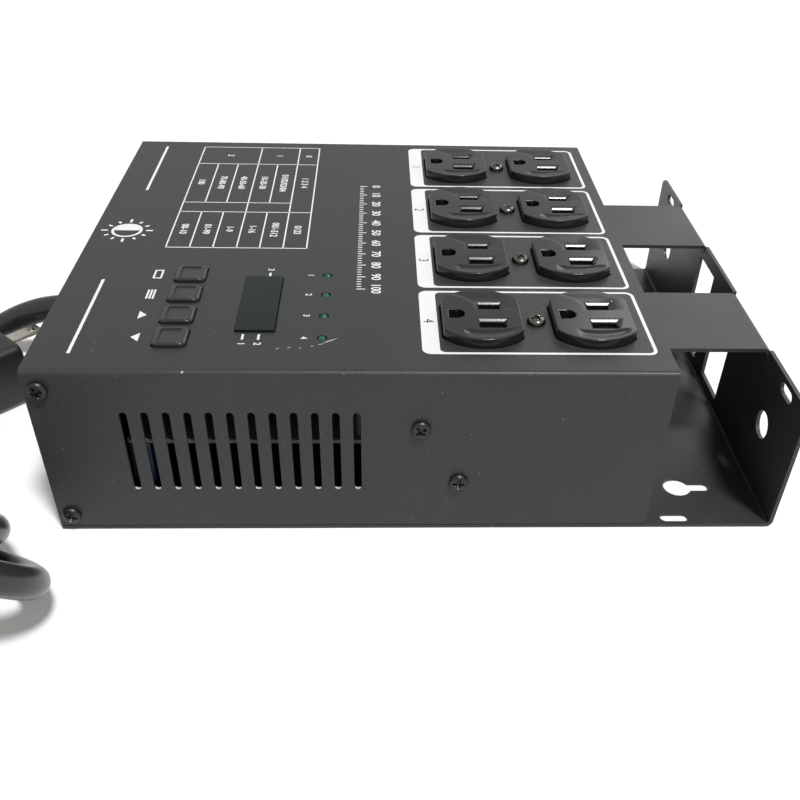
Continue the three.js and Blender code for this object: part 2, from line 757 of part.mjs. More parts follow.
// The tapered mouth that leads a blade into its slot, narrow end down.
function funnel(x, y, length, top) {
  const reach = cutOverrun / mouthDepth;
  const half = (full, narrow) => narrow / 2 + ((full - narrow) / 2) * (1 + reach);
  const [wideX, wideY] = [half(mouthLength, length), half(mouthWidth, slotWidth)];
  const corners = [];
  for (const [hx, hy, z] of [
    [length / 2 + mouthStep, slotWidth / 2 + mouthStep, top - mouthDepth],
    [wideX, wideY, top + cutOverrun],
  ]) {
    for (const [sx, sy] of [[-1, -1], [1, -1], [1, 1], [-1, 1]]) corners.push(x + sx * hx, y + sy * hy, z);
  }
  const geometry = new THREE.BufferGeometry();
  geometry.setAttribute("position", new THREE.Float32BufferAttribute(corners, 3));
  geometry.setIndex([0, 2, 1, 0, 3, 2, 4, 5, 6, 4, 6, 7, ...[0, 1, 2, 3].flatMap((k) => {
    const next = (k + 1) % 4;
    return [k, next, 4 + next, k, 4 + next, 4 + k];
  })]);
  return solid(geometry);
}

// The dished sides of an outlet face, beyond a curved ridge at the far side and a straight one at the near.
function scoops(x, y, top, above) {
  const far = new THREE.Shape();
  const out = faceRadius + cutOverrun;
  far.moveTo(x - nearScoopEdge, y + out);
  far.quadraticCurveTo(x - nearScoopLeft, y + farScoopEdge, x - slotWidth / 2, y + farScoopEdge);
  far.lineTo(x + out, y + farScoopEdge);
  far.lineTo(x + out, y + out);
  const near = new THREE.Shape();
  near.moveTo(x - nearScoopLeft, y - nearScoopEdge);
  near.lineTo(x - nearScoopEdge, y - out);
  near.lineTo(x + out, y - out);
  near.lineTo(x + nearScoopRight, y - nearScoopEdge);
  return [
    prism("z", far, top - scoopDepth, above, 12),
    prism("z", near, top - scoopDepth, above, 2),
  ];
}

function keyOutline(y, halfX, halfY) {
  const corner = Math.min(keyCorner, halfX / 2);
  return roundedRectangle([keyX - halfX, keyX + halfX], [y - halfY, y + halfY], corner);
}

// Keys: tapered caps with a thin rim round a dished top, a skirt that keeps them in, and a stem over a switch.
function keys() {
  const top = boxHeight + keyRise;
  const bottom = boxHeight - keyBodyDepth - keyTravel;
  const skirtTop = coverUnderside - seatGap;
  const stemBottom = controlTop + switchHeight + keyTravel + seatGap;
  keyY.forEach((y, i) => {
    const straight = prism("z", keyOutline(y, keyLength / 2, keyWidth / 2), bottom, boxHeight, 4);
    const taper = loft(
      keyOutline(y, keyLength / 2, keyWidth / 2),
      keyOutline(y, keyTopLength / 2, keyTopWidth / 2),
      boxHeight - cutOverrun / 2,
      top,
    );
    const skirt = block(
      [keyX - keyLength / 2 - keySkirt, keyX + keyLength / 2 + keySkirt],
      [y - keyWidth / 2, y + keyWidth / 2],
      [skirtTop - keySkirtThick, skirtTop],
    );
    const dish = keyOutline(y, keyTopLength / 2 - keyRim, keyTopWidth / 2 - keyRim);
    const stem = rod("z", [keyX, y], keyStemRadius, stemBottom, bottom + keyBodyDepth / 2, 8);
    const cap = joinAll([straight, taper, skirt, stem])
      .subtract(prism("z", dish, top - keyDish, top + cutOverrun, 4));
    piece(`key_${i + 1}`, cap, rubber);
  });
}

// A solid between two outlines with the same number of points, one above the other.
function loft(lowOutline, highOutline, low, high) {
  const rings = [lowOutline, highOutline].map((outline) => outline.getPoints(2).slice(0, -1));
  const n = rings[0].length;
  const positions = rings.flatMap((ring, k) => ring.flatMap((p) => [p.x, p.y, k ? high : low]));
  const index = [];
  for (const i of count(n)) {
    const next = (i + 1) % n;
    index.push(i, next, n + next, i, n + next, n + i);
    if (i > 0 && next > 0) index.push(0, next, i, n, n + i, n + next);
  }
  const geometry = new THREE.BufferGeometry();
  geometry.setAttribute("position", new THREE.Float32BufferAttribute(positions, 3));
  geometry.setIndex(index);
  return solid(geometry);
}

const controlTop = boxHeight - controlDrop;

// Display: a dark filter let into the cover, over a digit module on the control board.
function display() {
  const span = (middle, size) => [middle - size / 2, middle + size / 2];
  const top = boxHeight + filterRise;
  const filterBottom = top - filterThick;
  piece("display_filter", block(span(displayX, filterLength), span(displayY, filterWidth), [filterBottom, top]), filterGreen);
  const moduleTop = Math.min(controlTop + seatGap + moduleDepth, filterBottom - seatGap);
  piece(
    "display_module",
    block(span(displayX, moduleLength), span(displayY, moduleWidth), [controlTop + seatGap, moduleTop]),
    blackMoulding,
  );
}

// Channel lamps: domed, with a rim under the cover, standing on the control board.
function lamps() {
  const rimTop = boxHeight - ledRimDrop;
  const low = controlTop + seatGap;
  const dome = boxHeight + ledRise - ledRadius;
  ledY.forEach((y, i) => {
    const profile = new THREE.Shape();
    profile.moveTo(0, low);
    profile.lineTo(ledRimRadius, low);
    profile.lineTo(ledRimRadius, rimTop);
    profile.lineTo(ledRadius, rimTop);
    profile.absarc(0, dome, ledRadius, 0, Math.PI / 2);
    const lamp = new THREE.LatheGeometry(profile.getPoints(2), 10).rotateX(Math.PI / 2);
    piece(`channel_lamp_${i + 1}`, solid(lamp), ledGreen).position.set(ledX, y, 0);
  });
}

// Control board with its switches, chip and the posts that hang it from the cover.
function controlBoard() {
  const parts = [
    block([controlLeft, controlRight], [controlNear, controlFar], [controlTop - boardThick, controlTop]),
  ];
  const half = switchSide / 2;
  for (const y of keyY) {
    parts.push(
      block([keyX - half, keyX + half], [y - half, y + half], [controlTop - boardThick, controlTop + switchHeight]),
    );
  }
  for (const x of [controlLeft + postInset - keySkirt, controlRight - postInset]) {
    for (const y of [controlNear + postInset, controlFar - postInset]) {
      parts.push(rod("z", [x, y], postRadius, controlTop - boardThick, coverUnderside - seatGap, 6));
    }
  }
  const chipX = displayX + chipLength / 2;
  parts.push(
    block([chipX - chipLength, chipX], [displayY - chipWidth / 2, displayY + chipWidth / 2],
      [controlTop - boardThick - chipHeight, controlTop]),
  );
  piece("control_board", joinAll(parts), boardGreen);
}

const powerBottom = powerTop - boardThick;

// Power board with its suppression capacitor and terminals underneath, hung from the cover on posts.
function powerBoard() {
  const near = powerInset;
  const far = boxWidth - powerInset;
  const parts = [block([powerLeft, powerRight], [near, far], [powerBottom, powerTop])];
  const hang = (x, y, length, width, height) =>
    parts.push(block([x, x + length], [y, y + width], [powerBottom - height, powerTop]));
  hang(powerLeft, near, capacitorWidth, capacitorLength, capacitorHeight);
  hang(powerLeft + postInset, breakerY - terminalLength / 2, terminalWidth, terminalLength, terminalHeight);
  const postX = [powerLeft + postInset, outletMiddle - outletBodyLength / 2 - postBeforeOutlets];
  const postY = [controlFar + 2 * postInset, far - postInset];
  const places = [...postX.flatMap((x) => postY.map((y) => [x, y])), [sinkLeft - 2 * postInset, near + postInset]];
  for (const [x, y] of places) {
    parts.push(rod("z", [x, y], postRadius, powerBottom, coverUnderside - seatGap, 6));
  }
  piece("power_board", joinAll(parts), boardGreen);
}

// Transformer: a laminated core with its bobbin, hung under the power board.
function transformer() {
  const top = powerBottom - seatGap;
  const span = (middle, size) => [middle - size / 2, middle + size / 2];
  const core = block(span(transformerX, transformerLength), span(transformerY, bobbinWidth), [top - transformerHeight, top]);
  const tall = transformerHeight * bobbinShare;
  const bobbin = block(
    span(transformerX, transformerLength * bobbinShare),
    span(transformerY, transformerWidth),
    [top - (transformerHeight + tall) / 2, top - (transformerHeight - tall) / 2],
  );
  piece("transformer", core.add(bobbin), steelCore);
}

// One ring choke for each channel, flat under the power board.
function chokes() {
  const z = powerBottom - seatGap - chokeTube;
  channelY.forEach((y, i) => {
    const ring = new THREE.TorusGeometry(chokeOuter - chokeTube, chokeTube, 8, 16);
    piece(`filter_choke_${i + 1}`, solid(ring), ferrite).position.set(chokeX, y, z);
  });
}

// Heat sinks inside the side walls, each with two triacs whose legs reach the power board.
function heatSinks() {
  let number = 0;
  for (const [side, [outer, into]] of Object.entries(sideWalls)) {
    const from = panelNear;
    const depth = across(outer, into, from, from + sinkThick);
    const holes = sinkScrewPlaces.map(([x, z]) =>
      rod("y", [z, x], screwShankRadius + seatGap, depth[0] - cutOverrun, depth[1] + cutOverrun, 10));
    piece(
      `heat_sink_${side}`,
      cutAll(block([sinkLeft, sinkRight], depth, [sinkBottom, sinkTop]), holes),
      aluminium,
    );
    const face = from + sinkThick + seatGap;
    for (const left of [sinkLeft + triacInset, sinkRight - triacInset - triacLength]) {
      const top = powerBottom - triacDrop;
      const middle = left + triacLength / 2;
      const body = block([left, left + triacLength], across(outer, into, face, face + triacThick), [top - triacHeight, top]);
      const legs = block(
        [middle - triacLegWidth / 2, middle + triacLegWidth / 2],
        across(outer, into, face + triacThick / 2, face + triacThick / 2 + triacLegThick),
        [top - cutOverrun, powerBottom - seatGap],
      );
      number += 1;
      piece(`triac_${number}`, body.add(legs), blackMoulding);
    }
  }
}

// The flange and barrel that both signal sockets share, its face looking along -X.
function socketShell(y) {
  const flange = roundedRectangle(
    [y - socketFlangeWidth / 2, y + socketFlangeWidth / 2],
    [socketHeight - socketFlangeHeight / 2, socketHeight + socketFlangeHeight / 2],
    socketFlangeCorner,
  );
  return prism("x", flange, socketFace, -seatGap, 4)
    .add(rod("x", [y, socketHeight], socketBarrelRadius, socketFace, socketBarrelDepth, 20));
}

const socketFace = -seatGap - socketFlangeThick;
const pinAngles = [0.25, 0.75, 1.5].map((turns) => turns * Math.PI);
const pinPlaces = (y) =>
  pinAngles.map((a) => [y + socketPinCircle * Math.cos(a), socketHeight + socketPinCircle * Math.sin(a)]);

// Signal input: a deep round cavity with three pins.
function signalInput() {
  const floor = socketFace + socketBoreDepth;
  const cavity = rod("x", [inputY, socketHeight], socketBore, socketFace - cutOverrun, floor, 20);
  const pins = pinPlaces(inputY).map((at) => rod("x", at, socketPinRadius, socketFace + socketPinRecess, floor + cutOverrun, 8));
  piece("signal_input", joinAll([socketShell(inputY).subtract(cavity), ...pins]), blackMoulding);
}

// Signal output: an insert with three holes in the middle of the cavity, and a sprung latch above it.
function signalOutput() {
  const floor = socketFace + socketBoreDepth;
  const at = [outputY, socketHeight];
  const cavity = rod("x", at, socketBore, socketFace - cutOverrun, floor, boreSides);
  const insert = rod("x", at, socketInsertRadius, socketFace + socketInsertRecess, floor + cutOverrun, 20);
  const holes = pinPlaces(outputY).map((hole) =>
    rod("x", hole, socketHoleRadius, socketFace - cutOverrun, socketFace + socketHoleDepth, 8));
  const z = socketHeight + latchRise;
  const span = (play, drop) => [
    [socketFace - cutOverrun, socketFace + latchDepth],
    [outputY - latchWidth / 2 - play, outputY + latchWidth / 2 + play],
    [z - latchHeight / 2 - play - drop, z + latchHeight / 2 + play],
  ];
  const body = cutAll(joinAll([socketShell(outputY).subtract(cavity), insert]), [...holes, block(...span(latchPlay, latchTravel))]);
  piece("signal_output", body, blackMoulding);
  const [, y, height] = span(0, 0);
  piece("output_latch", block([socketFace - latchProud, socketFace + latchDepth - latchPlay], y, height), zinc);
}

// Circuit breaker: a body behind the panel, a threaded bushing through it, a nut, and the reset button.
function breaker() {
  const at = [breakerY, breakerZ];
  const inside = baseSheet + seatGap;
  const shell = block(
    [inside, inside + breakerLength],
    [breakerY - breakerWidth / 2, breakerY + breakerWidth / 2],
    [breakerZ - breakerHeight / 2, breakerZ + breakerHeight / 2],
  );
  const bushing = rod("x", at, bushingRadius, -bushingReach, inside + cutOverrun, 20);
  const bore = rod("x", at, resetRadius + resetPlay, -bushingReach - cutOverrun, resetLength - resetReach + resetPlay, 16);
  piece("breaker_body", shell.add(bushing).subtract(bore), blackMoulding);
  const nut = rod("x", at, nutRadius, -seatGap - nutThick, -seatGap, nutSides);
  const thread = rod("x", at, bushingRadius + seatGap, -nutThick - cutOverrun, cutOverrun, 20);
  piece("breaker_nut", nut.subtract(thread), zinc);
  const profile = new THREE.Shape();
  profile.moveTo(0, 0);
  profile.lineTo(resetRadius, 0);
  profile.lineTo(resetRadius, resetLength - resetRadius / 2);
  profile.quadraticCurveTo(resetRadius, resetLength, resetRadius / 2, resetLength);
  profile.lineTo(0, resetLength);
  const button = new THREE.LatheGeometry(profile.getPoints(2), 12).rotateZ(Math.PI / 2);
  piece("breaker_reset_button", solid(button), whiteButton)
    .position.set(resetLength - resetReach, breakerY, breakerZ);
}

// Strain relief: a bushing snapped into the panel, with a tapered sleeve outside.
function strainRelief() {
  const profile = [
    [0, -reliefInner], [reliefThroat, -reliefInner], [reliefThroat, seatGap],
    [reliefCollarRadius, seatGap], [reliefCollarRadius, reliefCollar],
    [reliefRootRadius, reliefCollar], [reliefEndRadius, reliefLength], [0, reliefLength],
  ].map(([r, along]) => new THREE.Vector2(r, along));
  const sleeve = new THREE.LatheGeometry(profile, 16).rotateZ(Math.PI / 2);
  piece("strain_relief", solid(sleeve), rubber).position.set(0, cordY, cordZ);
}

// A round tube along points, its ends square to its path.
function tube(points, sides, steps) {
  const path = new THREE.CatmullRomCurve3(points);
  const section = circle(0, 0, cordRadius);
  return new THREE.ExtrudeGeometry(section, { extrudePath: path, steps, curveSegments: sides / 2 });
}

const routePoints = (route) => route.map(([x, y, z]) => new THREE.Vector3(x, y, z));

// The hank: the lead folded to and fro between half turns, the second round on top of the first. It lies flat
// at its far end and stands up on its rear run towards the box. Each point is worked out by distance along the
// cord, first as along (towards the box), across and layer, then laid out.
const hankFold = Math.PI * foldRadius;
const hankStretches = [hankFold, hankRun, hankFold, hankRun - hankShort, hankFold, hankRun - hankShort];

function hankPoint(distance) {
  let stretch = 0;
  let part = distance;
  while (stretch < hankStretches.length - 1 && part > hankStretches[stretch]) {
    part -= hankStretches[stretch];
    stretch += 1;
  }
  const nearFold = stretch < 3 ? 0 : -hankShort;
  const bulge = foldRadius * Math.sin(part / foldRadius);
  const side = foldRadius * Math.cos(part / foldRadius);
  const [along, offset] = part < 0 ? [part, foldRadius] : [
    [nearFold + bulge, side],
    [nearFold - part, -foldRadius],
    [-hankRun - bulge, -side],
    [-hankRun + part, foldRadius],
  ][stretch % 4];
  const climbFrom = 2 * hankFold + hankRun + climbStart;
  const layer = hankLayer * THREE.MathUtils.smoothstep(distance, climbFrom, climbFrom + climbLength);
  const tilt = THREE.MathUtils.degToRad(hankTilt) * THREE.MathUtils.smoothstep(along, tiltFrom, tiltTo);
  const out = foldRadius - offset;
  const across = foldRadius - out * Math.cos(tilt) + layer * Math.sin(tilt);
  const turn = THREE.MathUtils.degToRad(hankTurn);
  return new THREE.Vector3(
    hankX + along * Math.cos(turn) + across * Math.sin(turn),
    hankY - along * Math.sin(turn) + across * Math.cos(turn),
    hankLow + out * Math.sin(tilt) + layer * Math.cos(tilt),
  );
}

function hankPath() {
  const reach = hankStart + hankStretches.reduce((sum, length) => sum + length);
  const n = Math.round(reach / hankStep);
  return count(n + 1).map((i) => hankPoint(-hankStart + (i / n) * reach));
}

// The least gap that a tube keeps to itself, on points two diameters or more apart along it.
function leastGap(points) {
  const path = new THREE.CatmullRomCurve3(points);
  const samples = path.getSpacedPoints(Math.round(path.getLength() / (cordRadius / 2)));
  const apart = Math.ceil((4 * cordRadius) / (cordRadius / 2));
  let least = Infinity;
  for (const i of samples.keys()) {
    for (let j = i + apart; j < samples.length; j += 1) least = Math.min(least, samples[i].distanceTo(samples[j]));
  }
  return least - 2 * cordRadius;
}

function cord() {
  const hank = hankPath();
  piece("mains_lead", tube(routePoints(leadRoute), 8, 30), rubber);
  piece("lead_hank", tube(hank, 6, 84), rubber);
  piece("plug_lead", tube(routePoints(plugRoute), 8, 32), rubber);
  console.log("least gap in the hank, mm:", leastGap(hank).toFixed(2));
}

// Plug: a moulded body lying on its side, two flat blades one above the other and a round earth pin.
function plug() {
  const lying = new THREE.Group();
  lying.position.set(plugX, plugY, plugThick / 2);
  lying.rotation.z = THREE.MathUtils.degToRad(plugTurn);
  group.add(lying);
  const [halfWidth, halfThick] = [plugWidth / 2, plugThick / 2];
  const waist = halfWidth * plugWaistShare;
  const plan = new THREE.Shape();
  plan.moveTo(0, -halfWidth + plugCorner);
  plan.lineTo(0, halfWidth - plugCorner);
  plan.quadraticCurveTo(0, halfWidth, -plugCorner, halfWidth);
  plan.lineTo(-plugLength / 2, halfWidth);
  plan.quadraticCurveTo(-plugLength * plugWaistShare, halfWidth, -plugLength, waist / 2);
  plan.lineTo(-plugLength, -waist / 2);
  plan.quadraticCurveTo(-plugLength * plugWaistShare, -halfWidth, -plugLength / 2, -halfWidth);
  plan.lineTo(-plugCorner, -halfWidth);
  plan.quadraticCurveTo(0, -halfWidth, 0, -halfWidth + plugCorner);
  const bevel = {
    depth: plugThick - 2 * plugCorner,
    bevelEnabled: true,
    bevelThickness: plugCorner,
    bevelSize: plugCorner / 2,
    bevelOffset: -plugCorner / 2,
    bevelSegments: 2,
    curveSegments: 4,
  };
  const body = solid(new THREE.ExtrudeGeometry(plan, bevel).translate(0, 0, -halfThick + plugCorner));
  const neckProfile = [
    [0, -plugCorner], [plugNeckRadius, -plugCorner], [plugNeckRadius, 0], [plugNeckEndRadius, plugNeckLength],
    [0, plugNeckLength],
  ].map(([r, along]) => new THREE.Vector2(r, along));
  const neck = solid(new THREE.LatheGeometry(neckProfile, 14).rotateZ(Math.PI / 2).translate(-plugLength, 0, 0));
  piece("plug", body.add(neck), rubber, lying);
  const tip = seatGap + plugBladeLength;
  for (const [name, side] of [["line_blade", -1], ["neutral_blade", 1]]) {
    const z = side * (bladeSpacing / 2);
    const y = plugBladeShift;
    const blade = block(
      [seatGap, tip],
      [y - plugBladeWidth / 2, y + plugBladeWidth / 2],
      [z - plugBladeThick / 2, z + plugBladeThick / 2],
    );
    const hole = rod("z", [tip - plugBladeWidth / 2, y], plugBladeHole, z - plugBladeThick, z + plugBladeThick, 10);
    piece(name, blade.subtract(hole), nickel, lying);
  }
  const pin = rod("x", [-plugPinShift, 0], plugPinRadius, seatGap, plugPinLength, 12);
  piece("earth_pin", pin, nickel, lying);
}

cover();
base();
outletEndWall();
outlets();
screws();
keys();
display();
lamps();
controlBoard();
powerBoard();
transformer();
chokes();
heatSinks();
signalInput();
signalOutput();
breaker();
strainRelief();
cord();
plug();

// The origin is under the middle of the pack's own box, from the reset button's nose to the end plate.
group.position.set(-(boxLength + bracketReach - resetReach) / 2, -boxWidth / 2, 0);
const pack = new THREE.Group();
pack.add(group);

export default pack;
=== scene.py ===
"""A four-channel stage dimmer pack with its clamp bracket, mains lead and plug.

The sections follow the pack as it is put together: folded base, boards, outlets, cover, print, screws,
keys, window and lamps, sockets and breaker of the end panel, mains lead and plug, and then the table, the
lights and the camera round it. Sizes are in millimetres, and places count from the box's left front corner.
"""

import math

import bpy
import numpy as np
from mathutils import Matrix, Vector


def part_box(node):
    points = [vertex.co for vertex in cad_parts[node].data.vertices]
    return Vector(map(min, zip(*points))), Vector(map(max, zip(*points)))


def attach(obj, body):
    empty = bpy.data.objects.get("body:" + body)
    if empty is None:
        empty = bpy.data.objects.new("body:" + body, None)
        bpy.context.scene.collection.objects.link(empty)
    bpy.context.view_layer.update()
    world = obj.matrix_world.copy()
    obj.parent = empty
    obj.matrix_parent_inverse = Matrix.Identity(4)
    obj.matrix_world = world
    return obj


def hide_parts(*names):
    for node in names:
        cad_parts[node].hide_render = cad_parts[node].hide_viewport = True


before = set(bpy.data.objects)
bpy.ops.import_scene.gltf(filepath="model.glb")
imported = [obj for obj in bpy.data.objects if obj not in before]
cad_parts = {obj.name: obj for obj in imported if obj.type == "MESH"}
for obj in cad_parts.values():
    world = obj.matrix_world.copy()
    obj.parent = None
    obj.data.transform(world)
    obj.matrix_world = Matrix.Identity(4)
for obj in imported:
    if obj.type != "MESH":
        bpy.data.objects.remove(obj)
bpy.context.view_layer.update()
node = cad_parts


# Folded base with its bracket, and the loose end wall.
# Sheet steel, bent and punched, then powder coated in a fine-textured satin black that has picked up a
# little pale dust. The base is one sheet with the end panel and the bracket. The end wall is screwed in.
def fill(tree, shader_node, inputs):
    """Gives each input of a node its value, or links the output that stands for it."""
    for key, value in inputs.items():
        if isinstance(value, bpy.types.NodeSocket):
            tree.links.new(value, shader_node.inputs[key])
        else:
            shader_node.inputs[key].default_value = value
    return shader_node


def add_node(tree, kind, inputs=(), **settings):
    """Adds a shader node with its settings and its inputs."""
    added = tree.nodes.new("ShaderNode" + kind)
    for name, value in settings.items():
        setattr(added, name, value)
    return fill(tree, added, dict(inputs))


def noise(tree, size_mm, detail):
    """Noise of a size, in object coordinates."""
    place = add_node(tree, "TexCoord").outputs["Object"]
    inputs = {"Vector": place, "Scale": 1000 / size_mm, "Detail": detail}
    return add_node(tree, "TexNoise", inputs).outputs["Fac"]


def finish(name, colour, roughness, metallic=0.0, mottle=0.12, mottle_mm=9.0, grain_mm=0.5,
           grain_deep_mm=0.02, specular=0.5, polish_drift=0.08):
    """A finish whose colour drifts by the share `mottle`, and its roughness by `polish_drift`, with noise of
    `mottle_mm`, and whose grain is noise of `grain_mm` that stands `grain_deep_mm` deep."""
    made = bpy.data.materials.new(name)
    made.use_nodes = True
    tree = made.node_tree
    patches = noise(tree, mottle_mm, detail=5)
    dark, light = ((*[min(1, c * (1 + drift)) for c in colour], 1) for drift in (-mottle, mottle))
    mix = add_node(tree, "Mix", {"Factor": patches, "A": dark, "B": light}, data_type="RGBA")
    polish = add_node(tree, "MapRange", {
        "Value": patches, "To Min": roughness - polish_drift, "To Max": roughness + polish_drift})
    bump = add_node(tree, "Bump", {
        "Height": noise(tree, grain_mm, detail=3), "Strength": 1, "Distance": grain_deep_mm / 1000})
    fill(tree, tree.nodes["Principled BSDF"], {
        "Metallic": metallic, "Specular IOR Level": specular, "Base Color": mix.outputs["Result"],
        "Roughness": polish.outputs["Result"], "Normal": bump.outputs["Normal"]})
    return made


def lay_over(made, colour, where):
    """Lays a second colour over a finish, as far as the output `where` says."""
    tree = made.node_tree
    base = tree.nodes["Principled BSDF"].inputs["Base Color"]
    below = base.links[0].from_socket
    mix = add_node(tree, "Mix", {"Factor": where, "A": below, "B": (*colour, 1)}, data_type="RGBA")
    tree.links.new(mix.outputs["Result"], base)


def powder_coat(name, speck_mm=0.9, speck_from=0.73, speck_full=0.76, speck_share=0.9):
    """Satin black powder coat: a faint drift in tone, an orange-peel grain, and pale specks of dust where
    noise of `speck_mm` lies past `speck_from`, all there at `speck_full`."""
    made = finish(name, (0.0345, 0.0368, 0.0352), 0.43, mottle=0.14, mottle_mm=30, grain_mm=0.7,
                  grain_deep_mm=0.08, specular=0.34)
    where = add_node(made.node_tree, "MapRange", {
        "Value": noise(made.node_tree, speck_mm, detail=4),
        "From Min": speck_from, "From Max": speck_full, "To Max": speck_share})
    lay_over(made, (0.34, 0.34, 0.33), where.outputs["Result"])
    return made


def dress(material, *names):
    """Gives CAD nodes their finish."""
    for name in names:
        node[name].data.materials.clear()
        node[name].data.materials.append(material)


powder_black = powder_coat("powder_coat")
dress(powder_black, "base_and_bracket", "outlet_end_wall")


# Boards and power parts inside the box.
# Glass-fibre boards with ring chokes and a laminated transformer under them, and aluminium bars on the side
# walls that carry the triacs. The grey edge of a board and a blue capacitor show in the vents.
corner_mm = (1000 * np.array(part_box("cover")[0])).round(3) * (1, 1, 0)  # the box's, on the table
channels = range(1, 5)
resist_green = finish("board_resist", (0.01, 0.045, 0.022), 0.45, mottle=0.3, mottle_mm=6)
board_fibre = finish("board_fibre", (0.21, 0.22, 0.19), 0.6, mottle=0.25, mottle_mm=5, grain_mm=0.4)
capacitor_blue = finish("capacitor_blue", (0.012, 0.028, 0.062), 0.35, mottle=0.15, mottle_mm=8)
moulded_black = finish(
    "moulded_black", (0.014, 0.014, 0.014), 0.45, mottle=0.1, grain_mm=0.3, grain_deep_mm=0.01)
bar_aluminium = finish("bar_aluminium", (0.5, 0.51, 0.52), 0.42, metallic=1, mottle=0.06, grain_mm=1.2)
core_lacquer = finish("core_lacquer", (0.2, 0.19, 0.17), 0.5, metallic=0.6, mottle=0.2, mottle_mm=4)
winding_copper = finish("winding_copper", (0.42, 0.2, 0.07), 0.35, metallic=0.8, mottle=0.25, mottle_mm=3)
zinc = finish("zinc_plate", (0.42, 0.415, 0.39), 0.34, metallic=1, mottle=0.15, mottle_mm=3, grain_mm=0.4,
              grain_deep_mm=0.008)
dress(resist_green, "control_board")
dress(moulded_black, "display_module", *(f"triac_{channel}" for channel in channels))
dress(bar_aluminium, "heat_sink_front", "heat_sink_rear")
dress(core_lacquer, "transformer")
dress(winding_copper, *(f"filter_choke_{channel}" for channel in channels))
dress(zinc, *(f"outlet_strap_{channel}" for channel in channels))


def place_mm(name):
    """A node's low corner, high corner and middle, in millimetres from the box's left front corner."""
    low, high = (1000 * np.array(end) - corner_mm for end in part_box(name))
    return low.round(3), high.round(3), ((low + high) / 2).round(3)


def skin(rows, around=True, closed=(True, True), ring=False):
    """Corners and faces of a surface over rows of points: corner (i, j) is joined to (i, j + 1),
    (i + 1, j + 1) and (i + 1, j). `around` joins a row's end to its start, `closed` lays one face over the
    first row and one over the last, and `ring` joins the last row to the first."""
    rows = np.asarray(rows, float)
    count, across = rows.shape[:2]
    down = np.arange(count if ring else count - 1)
    i, j = np.meshgrid(down, np.arange(across if around else across - 1), indexing="ij")
    below, after = (i + 1) % count, (j + 1) % across
    quads = np.stack((i * across + j, i * across + after, below * across + after, below * across + j), -1)
    faces = quads.reshape(-1, 4).tolist()
    if closed[0] and not ring:
        faces.append(np.arange(across)[::-1].tolist())
    if closed[1] and not ring:
        faces.append(((count - 1) * across + np.arange(across)).tolist())
    return rows.reshape(-1, 3), faces


def add_object(name, data):
    """A new object in the scene."""
    made = bpy.data.objects.new(name, data)
    bpy.context.scene.collection.objects.link(made)
    return made


def piece(name, skins, material, stands_for=(), body="case", smooth=35):
    """One object from skins in millimetres from the box's corner. Faces that meet at under `smooth`
    degrees are shaded as one curve."""
    corners = np.concatenate([np.asarray(points, float) for points, _ in skins])
    starts = np.cumsum([0] + [len(points) for points, _ in skins])
    faces = [(np.asarray(face) + start).tolist() for start, (_, some) in zip(starts, skins) for face in some]
    mesh = bpy.data.meshes.new(name)
    mesh.from_pydata(((corners + corner_mm) / 1000).tolist(), [], faces)
    mesh.shade_smooth()
    mesh.set_sharp_from_angle(angle=math.radians(smooth))
    mesh.materials.append(material)
    made = add_object(name, mesh)
    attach(made, body)
    if stands_for:
        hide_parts(*stands_for)
    return made


def rounded_loop(half_x, half_y, radius, steps=5):
    """A rectangle with round corners as one anticlockwise loop: a quarter circle at each."""
    turn = np.linspace(0, math.pi / 2, steps + 1)
    corners = []
    for quarter, (sx, sy) in enumerate(((1, 1), (-1, 1), (-1, -1), (1, -1))):
        angle = turn + quarter * math.pi / 2
        corners.append(np.stack((
            sx * (half_x - radius) + radius * np.cos(angle),
            sy * (half_y - radius) + radius * np.sin(angle),
        ), -1))
    return np.concatenate(corners)


def stacked(loops, heights, middle=(0, 0)):
    """Rows of points from flat loops, each at its own height."""
    return [np.column_stack((loop + middle, np.full(len(loop), height)))
            for loop, height in zip(loops, heights)]


def slab(low, high, radius, edge=0.3, least_radius=0.05):
    """A block between two corners with round upright edges and a small bevel of `edge` above and below."""
    low, high = np.asarray(low, float), np.asarray(high, float)
    half, middle = (high - low) / 2, (high + low) / 2
    loops = [rounded_loop(half[0] - inset, half[1] - inset, max(least_radius, radius - inset))
             for inset in (edge, 0, 0, edge)]
    return skin(stacked(loops, (low[2], low[2] + edge, high[2] - edge, high[2]), middle[:2]))


def circle(steps=48):
    """The unit circle as an anticlockwise loop."""
    around = np.linspace(0, 2 * math.pi, steps, endpoint=False)
    return np.stack((np.cos(around), np.sin(around)), -1)


def turned(profile, sides=48):
    """Rings of points from a profile of radius and height, in order up the outside and down any hollow."""
    profile = np.asarray(profile, float)
    flat = profile[:, :1, None] * circle(sides)
    return np.concatenate((flat, np.broadcast_to(profile[:, 1:, None], (*flat.shape[:2], 1))), -1)


def placed(rows, middle, out=(0, 0, 1), across=(1, 0, 0)):
    """Turns rows from a part's own axes, across, up and out of its face, to the box's, and moves them."""
    out, across = np.asarray(out, float), np.asarray(across, float)
    return np.asarray(rows) @ np.stack((across, np.cross(out, across), out)) + middle


